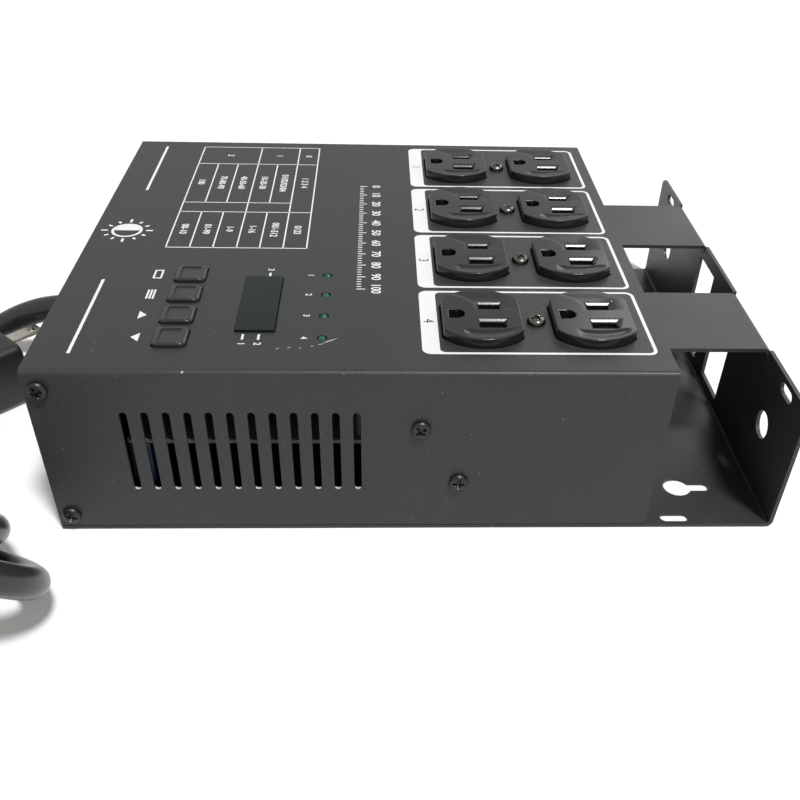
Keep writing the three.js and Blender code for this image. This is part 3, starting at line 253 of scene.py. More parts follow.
pole = 0.3  # radius of the small flat that closes the end of a turned piece
power_low, power_high, _ = place_mm("power_board")
board_low, board_high, solder_gap = 35.1, 36.7, 0.05
board_skin = slab((*power_low[:2], board_low), (*power_high[:2], board_high), radius=1, edge=0.1)
board = piece("power_board_fibre", [board_skin], board_fibre, ["power_board"])
post_places = [(x, y) for x in (32, 116) for y in (88, 197.1)] + [(108, 9.3)]
post_mm, bevel, post_top = 2.6, 0.3, power_high[2]
post = [(pole, board_high), (post_mm - bevel, board_high), (post_mm, board_high + bevel),
        (post_mm, post_top - bevel), (post_mm - bevel, post_top), (pole, post_top)]
post_skins = [skin(placed(turned(post, 24), (x, y, 0))) for x, y in post_places]
posts = piece("board_posts", post_skins, moulded_black)
part_top = board_low - solder_gap
capacitor_end = (*(power_low[:2] + (8, 26)), part_top)
capacitor_skin = slab(power_low, capacitor_end, radius=1.2, edge=0.8)
capacitor = piece("suppression_capacitor", [capacitor_skin], capacitor_blue)
terminal_low, terminal_high = np.array((32, 145, 21.1)), np.array((43, 159.6, part_top))
terminal_skins = [slab(terminal_low + (0, y, 0), terminal_high + (0, y, 0), radius=0.6) for y in (0, 15)]
terminal = piece("terminal_block", terminal_skins, moulded_black)


# Duplex outlets.
# Moulded black faces, slightly glossy, on one body behind the cover. Each has two funnel-mouthed slots, a
# D-shaped earth hole, a hollow beyond a ridge at its far side and a crescent falling away at its near side.
outlet_black = finish("outlet_black", (0.012, 0.0128, 0.0125), 0.21, mottle=0.08, mottle_mm=14, grain_mm=0.7,
                      grain_deep_mm=0.012, specular=0.42)
face_spacing, face_radius, face_flat, face_side = 39.0, 17.5, 13.8, 10.4
face_rim, face_foot, slot_floor = 0.4, 63.5, 6.1
mouths = (  # far, near, left and right edge, the right one's slant, the slot's four edges, and a drop
    (-2.9, -10.1, -1.7, 10.1, 0.34, -4.2, -7.4, -0.8, 7.6, 0.0),
    (9.9, 2.9, -1.8, 9.4, 0.1, 8.5, 5.3, -0.3, 7.0, 0.3))
mouth_roll, mouth_lip, least_side = 1.3, 0.02, 0.4
earth_flat, earth_middle, earth_radius, earth_lip = -11.4, -8.8, 2.9, 0.35
earth_grid_u, earth_grid_w = (-11.8, -5.6), (-3.3, 3.5)
hollow_near, hollow_left, hollow_rolls, hollow_deep = 2.4, -2.6, (1.4, 2.1), 0.5
hollow_lean, hollow_lean_from, hollow_lean_power = 0.017, 3.0, 2.6
hollow_far_fade, hollow_right_fade = (10.5, 16.6), (4.0, 13.2)
dish_far, dish_bow, dish_middle, dish_near, dish_deep = -11.3, 0.0225, 0.8, 16.8, 0.45
dish_shares, dish_left_fade, dish_right_fade = (0.32, 0.35), (-7.5, -4.5), (9, 12)


def ramp(value, low, high):
    """0 below `low`, 1 above `high` and an S-curve between."""
    t = np.clip((value - low) / (high - low), 0, 1)
    return t * t * (3 - 2 * t)


def rolled(into, wide, deep):
    """How deep an edge has rolled over `into` mm from its start: a quarter of an ellipse `wide` across and
    `deep` down, and no deeper after it."""
    return deep * (1 - np.sqrt(1 - np.clip(into / wide, 0, 1) ** 2))


def funnel(into, wide):
    """How deep a mouth's side lies `into` mm from its edge: 0.75 t + 0.33 t^2 of its share t of `wide`."""
    t = np.clip(into / wide, 0, 1)
    return 0.75 * t + 0.33 * t**2


def hollow_depth(u, w):
    """The far hollow rolls down from a straight near edge and from a left edge that leaves the straight by a
    power of the distance, and fades out towards the far rim and the right."""
    left = hollow_left - hollow_lean * np.clip(w - hollow_lean_from, 0, None) ** hollow_lean_power
    near_side = rolled(w - hollow_near, hollow_rolls[0], hollow_deep)
    left_side = rolled(u - left, hollow_rolls[1], hollow_deep)
    kept = (1 - ramp(w, *hollow_far_fade)) * (1 - ramp(u, *hollow_right_fade))
    return np.minimum(near_side, left_side) * kept


def dish_depth(u, w):
    """The near crescent: a parabola of the share of the way from its upper line, itself a parabola, to a
    circle inside the rim, and back up to the rim by an S-curve."""
    line = dish_far + dish_bow * (u - dish_middle) ** 2
    share = (line - w) / (line + np.sqrt(np.clip(dish_near**2 - u**2, 1, None)))
    fallen = 1 - (1 - np.clip(share / dish_shares[0], 0, 1)) ** 2
    ends = ramp(u, *dish_left_fade) * (1 - ramp(u, *dish_right_fade))
    return dish_deep * fallen * (1 - ramp(share, dish_shares[1], 1)) * ends


def face_depth(u, w):
    """How far a face lies below its flat top, from its middle: the deepest of the hollow, the dish, the two
    mouths, whose four sides each fall away to the slot's edge, the slots and the earth hole with its lip."""
    deep = np.maximum(hollow_depth(u, w), dish_depth(u, w))
    for far, near, left, right, slant, slot_far, slot_near, slot_left, slot_right, drop in mouths:
        right_here = right - slant * (far - w)
        sides = np.minimum.reduce((
            funnel(far - w, far - slot_far), funnel(w - near, slot_near - near),
            funnel(u - left, slot_left - left),
            funnel(right_here - u, np.maximum(least_side, right_here - slot_right))))
        inside = (w < far) & (w > near) & (u > left) & (u < right_here)
        deep = np.where(inside, np.maximum(deep, sides + drop * (sides > mouth_lip)), deep)
        in_slot = (w > slot_near) & (w < slot_far) & (u > slot_left) & (u < slot_right)
        deep = np.where(in_slot, slot_floor, deep)
    outside_earth = np.hypot(np.maximum(u - earth_middle, 0), w) - earth_radius
    outside_earth = np.maximum(earth_flat - u, outside_earth)
    deep = np.maximum(deep, rolled(earth_lip - outside_earth, earth_lip, earth_lip))
    return np.where(outside_earth < 0, slot_floor, deep)


def both_sides(edges, beside_mm=0.04):
    """A grid line just before and just after each edge, so that a drop there stays steep."""
    return (np.array(edges)[:, None] + (-beside_mm, beside_mm)).ravel()


def outlet_face(x, y, top):
    """A face as a grid in which each row spans the outline's width at that height, then rounded over its rim
    and dropped to the body. The grid is closer at the mouths, the earth hole and the rim."""
    flat, radius = face_flat - face_rim, face_radius - face_rim
    far, near, left, _, _, slot_far, slot_near, slot_left, slot_right, _ = np.transpose(mouths)
    u = np.concatenate((
        np.linspace(-flat, flat, 84), np.linspace(*earth_grid_u, 26), np.linspace(left[0], slot_left[0], 7),
        both_sides((earth_flat, left[0], *slot_left, *slot_right))))
    cap = radius * np.sin(np.linspace(math.asin(face_side / radius), math.radians(86.5), 22))
    w = np.concatenate((
        np.linspace(-face_side, face_side, 62), np.linspace(*earth_grid_w, 30),
        (far - mouth_roll * np.linspace(0, 1, 9)[:, None]).ravel(),
        both_sides((*near, *slot_near, *slot_far)), cap, -cap))
    u, w = np.unique(u.round(3)), np.unique(w.round(3))
    width = np.minimum(flat, np.sqrt(radius**2 - w**2))
    grid_u = u[None, :] * (width / flat)[:, None]
    grid_w = np.broadcast_to(w[:, None], grid_u.shape)
    grid = np.stack((grid_u + x, grid_w + y, top - face_depth(grid_u, grid_w)), -1)
    loop = np.concatenate((grid[0], grid[1:, -1], grid[-1, -2::-1], grid[-2:0:-1, 0]))
    along = np.roll(loop, -1, 0) - np.roll(loop, 1, 0)
    out = np.column_stack((along[:, 1], -along[:, 0], np.zeros(len(loop))))
    out /= np.linalg.norm(out, axis=1)[:, None]
    bend = np.linspace(0, math.pi / 2, 6)
    rim = [loop + out * face_rim * math.sin(a) - (0, 0, face_rim * (1 - math.cos(a))) for a in bend]
    foot = rim[-1].copy()
    foot[:, 2] = face_foot
    rim.append(foot)
    return [skin(grid, around=False, closed=(False, False)), skin(rim[::-1], closed=(True, False))]


def block(middle, halves, heights, radius, edge=0.3):
    """A slab about a place, from half its length and width and its two heights."""
    middle, halves = np.array(middle), np.array(halves)
    return slab((*middle - halves, heights[0]), (*middle + halves, heights[1]), radius, edge)


for channel in channels:
    outlet_low, outlet_high, (x, y, _) = place_mm(f"outlet_{channel}")
    skins = []
    for side in (-0.5, 0.5):
        skins += outlet_face(x + side * face_spacing, y, outlet_high[2])
    for half_wide, heights in ((16.7, (55.9, 64.9)), (13.5, (outlet_low[2], 56.2))):
        skins.append(block((x, y), (outlet_high[0] - x, half_wide), heights, radius=3, edge=0.5))
    outlet = piece(f"outlet_moulding_{channel}", skins, outlet_black, [f"outlet_{channel}"])


# Cover.
# The same sheet steel and powder coat, folded down along the front and the rear. A painted highlight lies on
# the lower ends of the vents, and the coat has a chip on the front fold and a scratch beside lamp 4.
cover_top = place_mm("cover")[1][2]
vents, vent_low, wall_sheet, coat = (28.0, 110.0), 18.7, 1.2, 0.1
# How far below and above a vent's lowest point the painted highlight on its cut edge reaches.
highlight_below, highlight_above = 0.3, 0.7


def bare_vent_ends(made, colour):
    """Paints a pale highlight where a place lies inside the front sheet's thickness, in the lowest 0.7 mm of
    a vent:
    the product of one band test along each axis, laid over the coat's colour."""
    tree = made.node_tree
    place = add_node(tree, "SeparateXYZ", {0: add_node(tree, "TexCoord").outputs["Object"]})
    highlight_heights = (vent_low - highlight_below, vent_low + highlight_above)
    bands = []
    for axis, ends in enumerate((vents, (coat, wall_sheet - coat), highlight_heights)):
        low, high = ((value + corner_mm[axis]) / 1000 for value in ends)
        limits = {0: place.outputs[axis], 1: (low + high) / 2, 2: (high - low) / 2}
        bands.append(add_node(tree, "Math", limits, operation="COMPARE").outputs[0])
    inside = add_node(tree, "Math", {0: bands[0], 1: bands[1]}, operation="MULTIPLY").outputs[0]
    inside = add_node(tree, "Math", {0: inside, 1: bands[2]}, operation="MULTIPLY").outputs[0]
    lay_over(made, colour, inside)
    return made


# The cover's coat, with a pale painted highlight on the lower ends of the vents.
cover_coat_and_vent_highlights = bare_vent_ends(powder_coat("cover_coat_and_vent_highlights"), (0.62, 0.62, 0.6))
dress(cover_coat_and_vent_highlights, "cover")
bare_steel = finish("bare_steel", (0.72, 0.72, 0.7), 0.42, mottle=0.2, mottle_mm=1.5, grain_mm=0.3)


def on_cover(points, lift):
    """Flat points set `lift` above the cover."""
    return np.column_stack((points, np.full(len(points), cover_top + lift)))


def sliver(start, end, wide, low=0.02, high=0.05):
    """A scratch as a spindle: its width is a sine from end to end, and its ridge `high` above the cover."""
    start, end = np.asarray(start, float), np.asarray(end, float)
    t = np.linspace(0, 1, 13)[:, None]
    along = (end - start) / np.linalg.norm(end - start)
    side = np.array((-along[1], along[0]))
    half = wide / 2 * np.sin(math.pi * (0.03 + 0.94 * t))
    line = start + t * (end - start)
    rows = (on_cover(line - side * half, low), on_cover(line + side * half, low), on_cover(line, high))
    return skin(np.stack(rows, 1))


chip = turned([(0.02, -0.35), (0.45, -0.3), (0.5, 0.0), (0.34, 0.09), (0.02, 0.11)], 14)
chip = chip * (1.15, 0.75, 1) + 0.09 * np.sin(7 * chip[..., [1, 0, 0]])
chip_mm, fold_way = (51.6, 0.65, 67.28), np.array((0, -math.sqrt(0.5), math.sqrt(0.5)))
marks = [skin(placed(chip, chip_mm, fold_way))]
marks += [sliver((95.9, 17.9), (100.8, 21.1), wide=0.42), sliver((94.3, 16.8), (96.2, 17.5), wide=0.3)]
scuffs = ((91.9, 15.8), (88.1, 14.6), (84.2, 14.8), (80.4, 14.2), (72.1, 55.6))
scuff_long, scuff_wide = (1.1, 0.3), 0.28
marks += [sliver(at, np.add(at, scuff_long), scuff_wide) for at in scuffs]
worn = piece("coat_marks", marks, bare_steel)


# Print on the cover.
# White screen ink: a frame with a numbered bar round each pair of outlets, a ruled table, a scale of plain
# figures, plain marks at the keys and lamps, and a round brightness mark between two rules at the left edge.
ink_mm, figure_bold = cover_top + 0.04, 0.02
screen_ink = finish("screen_ink", (0.9, 0.9, 0.885), 0.55, mottle=0.05, mottle_mm=4, grain_deep_mm=0.01)


def flat_ink(corners):
    """One flat face of ink with the given corners."""
    return np.column_stack((corners, np.full(len(corners), ink_mm))), [list(range(len(corners)))]


def strip(x0, y0, x1, y1):
    """A flat rectangle of ink."""
    return flat_ink(((x0, y0), (x1, y0), (x1, y1), (x0, y1)))


def ruled(x0, y0, x1, y1, wide):
    """A straight line of ink between two points."""
    along = np.array((x1 - x0, y1 - y0)) / math.hypot(x1 - x0, y1 - y0)
    side = np.array((-along[1], along[0])) * wide / 2
    a, b = np.array((x0, y0)), np.array((x1, y1))
    return flat_ink((a - side, b - side, b + side, a + side))


def band(outer, inner):
    """Ink between an outer and an inner loop of as many points."""
    return skin(stacked((outer, inner), (ink_mm, ink_mm)), closed=(False, False))


def boxed_loop(low, high, radius):
    """A rectangle with round corners between two corners, as a loop."""
    low, high = np.array(low), np.array(high)
    return rounded_loop(*(high - low) / 2, radius) + (low + high) / 2


def lettering(text, x, y, tall, z=ink_mm, bold=figure_bold):
    """Plain figures that read towards the front wall, their tops to the right, centred on (x, y)."""
    curve = bpy.data.curves.new("figures", "FONT")
    curve.body = text
    curve.offset = bold
    curve.align_x, curve.align_y = "CENTER", "CENTER"
    shown = add_object("figures", curve)
    flat = bpy.data.meshes.new_from_object(shown.evaluated_get(bpy.context.evaluated_depsgraph_get()))
    corners = np.empty(len(flat.vertices) * 3)
    flat.vertices.foreach_get("co", corners)
    corners = corners.reshape(-1, 3)
    faces = [list(p.vertices) for p in flat.polygons]
    bpy.data.objects.remove(shown)
    corners[:, :2] -= (corners[:, :2].min(0) + corners[:, :2].max(0)) / 2
    corners *= tall / (2 * corners[:, 1].max())
    return np.column_stack((corners[:, 1] + x, -corners[:, 0] + y, np.full(len(corners), z))), faces


ink, figures = [], []
frame_left, frame_bar, frame_right, frame_line = 129.3, 6, 209, 1.2
inner_right, bar_figure_x, bar_figure_tall, bar_figure_lift = frame_right - frame_line, 132.3, 3.8, 0.03
for channel, (near, far) in enumerate(((152.7, 199.4), (104.9, 150.0), (57.5, 102.4), (11.3, 55.0)), start=1):
    outer = boxed_loop((frame_left, near), (frame_right, far), 3)
    inner_low, inner_high = (frame_left + frame_bar, near + frame_line), (inner_right, far - frame_line)
    ink.append(band(outer, boxed_loop(inner_low, inner_high, 2)))
    figures.append(lettering(str(channel), bar_figure_x, (near + far) / 2, bar_figure_tall,
                             ink_mm + bar_figure_lift, bold=0))
table_x, table_y = (31.2, 40.4, 49.5, 58.75, 67.8, 77, 86.3), (89.1, 123, 132.7, 176.9, 198.2)
table_line, cell_tall, cell_bold = 0.55, 3.0, 0.025
rules = [(table_x[0], y, table_x[-1], y) for y in (*table_y[:2], *table_y[3:])]
rules.append((table_x[0], table_y[2], table_x[-2], table_y[2]))
rules += [(table_x[i], table_y[0], table_x[i], table_y[-1]) for i in (0, 3, 5, 6)]
rules += [(table_x[i], low, table_x[i], high) for i in (1, 2, 4) for low, high in (table_y[:2], table_y[2:4])]
ink += [ruled(*ends, table_line) for ends in rules]
side_rule_x = (12.75, 13.85)
ink += [strip(side_rule_x[0], low, side_rule_x[1], high) for low, high in ((145, 198), (10.8, 62))]
for channel in channels:
    ink.append(lettering(str(channel), 89.4, place_mm(f"channel_lamp_{channel}")[2][1], 2.3))
bar_half, window_figure_tall = 0.4, 2.5
for x, low, high, figure_y, text in (
    (68.7, 19.8, 23.4, 17.2, "1"), (74.1, 19.8, 23.4, 17.2, "2"), (74.1, 65.6, 68.2, 70.8, "3"),
):
    ink.append(strip(x - bar_half, low, x + bar_half, high))
    ink.append(lettering(text, x, figure_y, window_figure_tall))
ink.append(flat_ink(((31.2, 33.3), (34.0, 36.0), (31.2, 38.7))))
ink.append(flat_ink(((34.2, 18.5), (34.2, 23.9), (31.3, 21.2))))
ink += [strip(x, 47.6, x + 0.7, 54.4) for x in (31.1, 32.25, 33.4)]
ink.append(band(boxed_loop((30.9, 63), (34.3, 69.8), 0.5), boxed_loop((31.6, 63.7), (33.6, 69.1), 0.3)))
cells_y = (187.5, 154.8, 106)
for x, cells in (
    (81.7, ("0", "1 2 3 4", "0123")), (72.4, ("", "01/02/03/04", "001-512")),
    (63.3, ("", "10-20-30", "1-16")), (54.1, ("", "40-50-60", "1-9")), (45, ("2", "70-80-90", "01-99")),
    (35.8, ("", "100", "00-10")), (67.9, ("1", "", "")),
):
    ink += [lettering(text, x, y, cell_tall, bold=cell_bold) for y, text in zip(cells_y, cells) if text]
scale_low, scale_high, scale_x, scale_ticks = 56.0, 152.0, 106.6, 50
tick_half, tick_short, tick_long, scale_figure, scale_figure_tall = 0.3, 1.7, 3.2, 7.2, 3.7
for tick in range(scale_ticks + 1):
    y = scale_high - (scale_high - scale_low) * tick / scale_ticks
    numbered = tick % 5 == 0
    reach = tick_long if numbered else tick_short
    ink.append(strip(scale_x, y - tick_half, scale_x + reach, y + tick_half))
    if numbered:
        ink.append(lettering(str(tick * 100 // scale_ticks), scale_x + scale_figure, y, scale_figure_tall))
mark_middle, mark_rim, mark_inside, half_disc = (13.2, 104.0), 6.2, 5.1, 5.2
ray_from, ray_long, ray_short, ray_wide = 7.6, 10.4, 9.4, 1.0
ink.append(band(mark_rim * circle() + mark_middle, mark_inside * circle() + mark_middle))
ink.append(flat_ink(half_disc * circle()[:25] + mark_middle))
for ray, way in enumerate(circle(12)):
    reach = ray_long if ray % 3 == 0 else ray_short
    ink.append(ruled(*(mark_middle + ray_from * way), *(mark_middle + reach * way), ray_wide))
print_piece = piece("cover_print", ink, screen_ink)
print_figures = piece("channel_figures", figures, powder_black)


# Screws.
# Pan heads with a cross recess: dull zinc between the outlet faces, black oxide on the walls.
oxide_black = finish("oxide_black", (0.05, 0.05, 0.05), 0.36, metallic=0.9, mottle=0.3, mottle_mm=1.5,
                     grain_mm=0.3, grain_deep_mm=0.01)
screw_grey = finish("screw_grey", (0.15, 0.146, 0.132), 0.26, metallic=1, mottle=0.3, mottle_mm=1.6,
                    grain_mm=0.3, grain_deep_mm=0.008)
head, head_high, shank, head_lift, outlet_shank, wall_shank = 3.35, 1.9, 1.7, 0.3, 6.8, 5.8
arm_half, arm_long, cross_deep, cross_rise = 0.62, 2.15, 1.45, 0.28
arm_side, arm_end = 0.22, 0.5


def cross_arm(along, beside):
    """1 inside one arm of the cross and 0 outside it, with an S-curve at its side and its end."""
    inside = ramp(arm_half - np.abs(beside), 0, arm_side)
    return inside * ramp(arm_long - np.abs(along), 0, arm_end)


def screw(middle, out, turn, shank_long, size=1.0, across=(1, 0, 0)):
    """A pan head as rings of points: its height is a fourth-power dome less a cross whose arms fall towards
    the middle, over a shank. `out` is the way the head looks and `turn` the cross's angle."""
    rings = np.concatenate(((0.02,), np.linspace(0.25, 2.6, 16), np.linspace(2.75, head, 7)))
    u, w = rings[:, None] * circle(56).T[:, None]
    dome = head_high * np.sqrt(np.clip(1 - (rings / (head * 1.02)) ** 4, 0, 1))[:, None]
    a = u * math.cos(turn) + w * math.sin(turn)
    b = w * math.cos(turn) - u * math.sin(turn)
    cross = np.maximum(cross_arm(a, b), cross_arm(b, a)) * (cross_deep - cross_rise * np.hypot(u, w))
    top = np.stack((u, w, dome - cross), -1)
    below = turned([(pole, -shank_long - 0.2), (shank, -shank_long), (shank, 0), (head, 0)], 56)
    return skin(placed(np.concatenate((below, top[::-1])) * size, middle, out, across))


for channel in channels:
    x, y, _ = place_mm(f"outlet_screw_{channel}")[2]
    fixing = screw((x, y, cover_top + head_lift), (0, 0, 1), channel - 0.5, outlet_shank)
    made = piece(f"outlet_fixing_{channel}", [fixing], screw_grey, [f"outlet_screw_{channel}"])
wall_screws = [(name, number) for name in ("cover", "heat_sink") for number in (1, 2)]
for wall, wall_y, out in (("front", 0, (0, -1, 0)), ("rear", place_mm("cover")[1][1], (0, 1, 0))):
    for place, (name, number) in enumerate(wall_screws):
        stands_for = f"{name}_screw_{wall}_{number}"
        x, _, z = place_mm(stands_for)[2]
        fixing = screw((x, wall_y + out[1] * head_lift, z), out, 0.4 + place * 0.9, wall_shank)
        made = piece(f"{wall}_screw_{place + 1}", [fixing], oxide_black, [stands_for])


# Keys.
# Black moulded caps with a rounded shoulder and a thin raised ridge round a sunk panel.
# A skirt under the cover keeps each in, and a stem presses a switch on the control board.
key_black = finish(
    "key_black", (0.026, 0.0265, 0.025), 0.26, mottle=0.08, mottle_mm=6, grain_mm=0.4, grain_deep_mm=0.01)
key_x, key_half_x, key_half_y, key_corner = 44.85, 5.7, 5.9, 2.0
skirt, skirt_heights, stem_half, stem_heights = 1.0, (65.6, 66.4), 1.9, (60.9, 65.0)
cap_rows = (  # how far in from the cap's side, and how high over the cover
    (0, -3.0), (0, 0.2), (0.05, 0.62), (0.22, 1.0), (0.52, 1.26), (0.9, 1.36), (1.3, 1.4), (1.58, 1.45),
    (1.7, 1.58), (1.79, 1.58), (1.88, 1.42), (1.94, 1.1), (2.02, 0.99), (2.2, 0.96), (4.6, 0.96))
panel_shift, panel_from, panel_narrower = 0.45, 1.6, 0.8
for key in range(1, 5):
    y = place_mm(f"key_{key}")[2][1]
    loops = []
    for inset, _ in cap_rows:  # the sunk panel sits nearer the front, longer and narrower than the cap
        longer = panel_shift * min(1, inset / panel_from)
        halves = key_half_x - inset - panel_narrower * longer, key_half_y - inset + longer
        loop = rounded_loop(*halves, max(0.3, key_corner - 0.75 * inset), 6)
        loops.append(loop - (0, longer))
    skins = [skin(stacked(loops, [cover_top + z for _, z in cap_rows], (key_x, y)))]
    skirt_halves = (key_half_x + skirt, key_half_y + skirt)
    skins.append(block((key_x, y), skirt_halves, skirt_heights, radius=0.5, edge=0.1))
    skins.append(block((key_x, y), (stem_half, stem_half), stem_heights, radius=1.6))
    made = piece(f"key_cap_{key}", skins, key_black, [f"key_{key}"], body=f"key_{key}")


# Display window.
# A plate of dark green acrylic, glossy, its edges sawn square, standing a little proud of the cover.
window_green = finish("window_green", (0.010, 0.019, 0.014), 0.2, mottle=0.15, mottle_mm=20, grain_mm=6,
                      grain_deep_mm=0.01, specular=0.16)
window_low, window_high = (65.6, 25.0, 66.3), (79.1, 64.2, 68.7)
window = slab(window_low, window_high, radius=0.4, edge=0.12)
made = piece("display_window", [window], window_green, ["display_filter"])


# Channel lamps.
# Three millimetre light-emitting diodes in tinted green resin, seated in plain holes.
lens_green = finish(
    "lens_green", (0.01, 0.115, 0.05), 0.09, mottle=0.25, mottle_mm=1.5, grain_mm=2, grain_deep_mm=0.001)
lamp_x, lens_mm, collar, foot_mm, collar_top, dome_from = 95.5, 1.5, 2.05, 56.8, 65.2, 66.9
dome = [(lens_mm * math.cos(a), dome_from + lens_mm * math.sin(a)) for a in np.linspace(0.15, 1.5, 9)]
lens = turned([(pole, foot_mm), (collar, foot_mm), (collar, collar_top),
               (lens_mm, collar_top + 0.05), (lens_mm, dome_from), *dome], 32)
for channel in channels:
    stands_for = f"channel_lamp_{channel}"
    lens_skin = skin(placed(lens, (lamp_x, place_mm(stands_for)[2][1], 0)))
    made = piece(f"lamp_lens_{channel}", [lens_skin], lens_green, [stands_for])


# Signal sockets in the end panel.
# Black moulded flanges, each held by two small screws. The input has three plated pins in its cavity, the
# output has three contact holes in an insert and a latch tab of sprung steel over it.
left, panel_across = (-1, 0, 0), (0, -1, 0)
socket_y, socket_z, socket_face, socket_floor = (34.056, 72.034), 34.0, 2.3, -12.7
pin_circle, pin_angles = 4.1, [math.radians(a) for a in (45, 135, 270)]
flange_screw, flange_screw_size = (9.6, 12.1), 0.62
contact_metal = finish("contact_metal", (0.6, 0.57, 0.5), 0.3, metallic=1, mottle_mm=3, grain_deep_mm=0.006)
dress(moulded_black, "signal_input", "signal_output", "breaker_body")


def on_panel(rows, y, z=socket_z):
    """Turns rows given across, up and out of the end panel's face, and sets them at a place on it."""
    return placed(rows, (0, y, z), left, panel_across)


def at_pins(profile, y):
    """A turned piece at each of a socket's three pin places."""
    rows = turned(profile, 24)
    return [skin(on_panel(rows, y + pin_circle * math.cos(a), socket_z + pin_circle * math.sin(a)))
            for a in pin_angles]


liner = [(9.35, socket_floor + 0.1), (9.95, socket_face - 0.1), (9.95, socket_face + 0.12),
         (9.8, socket_face + 0.26), (9.45, socket_face + 0.26), (9.1, socket_face + 0.05),
         (9.0, socket_face - 0.6), (9.0, socket_floor + 0.1)]
for name, y, rim_mm in zip(("input", "output"), socket_y, (9.95, 9.42)):
    profile = [(min(radius, rim_mm), height) for radius, height in liner]
    rim = skin(on_panel(turned(profile, 72), y), ring=True)
    piece(f"{name}_socket_liner", [rim], moulded_black)
    places = [(-socket_face + 0.02, y + side * flange_screw[0], socket_z - side * flange_screw[1])
              for side in (-1, 1)]
    heads = [screw(at, left, 0.7 + at[1], 2.5, flange_screw_size, panel_across) for at in places]
    piece(f"{name}_flange_screws", heads, oxide_black)
pin = [(pole, socket_floor), (1.26, socket_floor), (1.26, -0.45), (1.15, -0.05), (0.85, 0.25), (0.4, 0.36),
       (0.02, 0.38)]
piece("input_socket_pins", at_pins(pin, socket_y[0]), contact_metal)
sleeve = [(pole, -9.2), (1.32, -9.2), (1.32, 0.9), (1.2, 1.0), (0.95, 1.0), (0.85, 0.8), (0.85, -8.4),
          (pole, -8.4)]
piece("output_socket_contacts", at_pins(sleeve, socket_y[1]), contact_metal)
latch_half_y, latch_half_z, latch_corner, latch_z = 4.2, 1.7, 0.7, 46.4
latch_loops = [rounded_loop(latch_half_y - inset, latch_half_z - inset, latch_corner, 4)
               for inset in (0.25, 0, 0, 0.15, 0.5)]
latch_rows = on_panel(stacked(latch_loops, (1.05, 1.3, 3.5, 3.9, 4.1)), socket_y[1], latch_z)
latch = piece("latch_tab", [skin(latch_rows)], zinc, ["output_latch"], body="output_latch")


# Circuit breaker in the end panel.
# A black body behind the panel with a threaded bushing through it, a plated hexagon nut and a white button.
button_white = finish("button_white", (0.7, 0.68, 0.62), 0.35, mottle=0.05, grain_mm=0.6, grain_deep_mm=0.005)
breaker_y, nut_corner, nut_from, nut_thick, nut_bore = 159.96, 8.6, 0.3, 2.6, 5.75
around = np.linspace(0, 2 * math.pi, 96, endpoint=False)
flats, nut_top = nut_corner * math.cos(math.pi / 6), nut_from + nut_thick
hexagon = flats / np.cos((around % (math.pi / 3)) - math.pi / 6)
drop = 0.55 * (hexagon - flats) / (nut_corner - flats)  # the corners are turned off by a cone
level = np.ones(len(around))
nut_rows = [np.column_stack((circle(96) * radius[:, None], height)) for radius, height in (
    (nut_bore * level, nut_from * level), (hexagon, nut_from * level),
    (hexagon, nut_top - 0.15 - drop), ((flats - 0.1) * level, nut_top * level),
    (6.1 * level, nut_top * level), (nut_bore * level, nut_thick * level))]
nut = piece("breaker_hex_nut", [skin(on_panel(nut_rows, breaker_y), ring=True)], zinc, ["breaker_nut"])
thread_mm, thread_deep, thread_pitch = 5.62, 0.12, 0.75
thread = [(thread_mm + thread_deep * math.sin(2 * math.pi * z / thread_pitch), z)
          for z in np.linspace(2.95, 6.1, 43)]
thread += [(5.4, 6.42), (3.9, 6.45), (3.68, 6.3), (3.68, 2.95)]
bushing = piece("breaker_thread", [skin(on_panel(turned(thread, 64), breaker_y), ring=True)], moulded_black)
button_mm, nose_mm, nose_from = 3.3, 1.5, 8.1
nose = [(button_mm - nose_mm * (1 - math.cos(a)), nose_from + nose_mm * math.sin(a))
        for a in np.linspace(0, math.pi / 2, 7)]
button = turned([
    (pole, -5.4), (button_mm, -5.4), (button_mm, 5.9), (button_mm - 0.08, 6.0), (button_mm, 6.1), *nose,
    (0.9, 9.58), (0.6, 9.4), (0.02, 9.35)])
button_piece = piece("breaker_push_button", [skin(on_panel(button, breaker_y))], button_white,
                     ["breaker_reset_button"], body="breaker_reset_button")


# Mains lead.
# A round three-core lead with a rubber jacket, in a ribbed strain relief. It drops to the table and goes into
# a hank of a round and a half that stands up at the box's side, and comes back over itself to the plug.
jacket = finish("cord_jacket", (0.026, 0.0265, 0.0265), 0.27, mottle_mm=25, grain_mm=0.9, grain_deep_mm=0.01)
cord_wide = 10.7
lead_route = (
    (-21.3, 118, 25), (-27, 118, 24.8), (-35, 118, 23.4), (-44, 118, 20.2), (-53, 118, 15.6),
    (-61, 117.9, 11.6), (-69.5, 117.6, 8.5), (-80.5, 115.9, 6.2), (-93, 111, 5.5), (-105.5, 101.8, 5.45),
    (-115.3, 89.5, 5.45), (-121.4, 75, 5.45), (-123.3, 59.3, 5.45), (-120.7, 43.8, 5.45),
    (-113.8, 29.6, 5.45), (-103.2, 18, 5.45), (-89.8, 9.8, 5.45), (-79.7, 5.3, 5.45))
plug_route = (
    (-231.4, -2.7, 17.35), (-240.2, 1.2, 17.35), (-252.9, 10.5, 17.3), (-261.8, 24.5, 17.2),
    (-264.6, 41, 16.6), (-260.9, 57.2, 15), (-251.3, 70.6, 12.8), (-237.3, 79.5, 10.6), (-220.8, 82.3, 9.2),
    (-204, 78.8, 8.5), (-190, 71.2, 8.6), (-175, 63.1, 9.8), (-160, 55, 12.4), (-146, 47.4, 15.4),
    (-138, 43.1, 17.6), (-130, 38.9, 19.4), (-122.5, 36, 20), (-113.8, 34.8, 19), (-104.6, 36, 16.8),
    (-96, 39.7, 14.5), (-89.6, 44.9, 13.6), (-86.85, 47.8, 13.5))
fold, run, short = 34.5, 204.0, 21.0
hank, hank_turn, hank_tilt = (-30.7, -54.3), math.radians(24), math.radians(50)
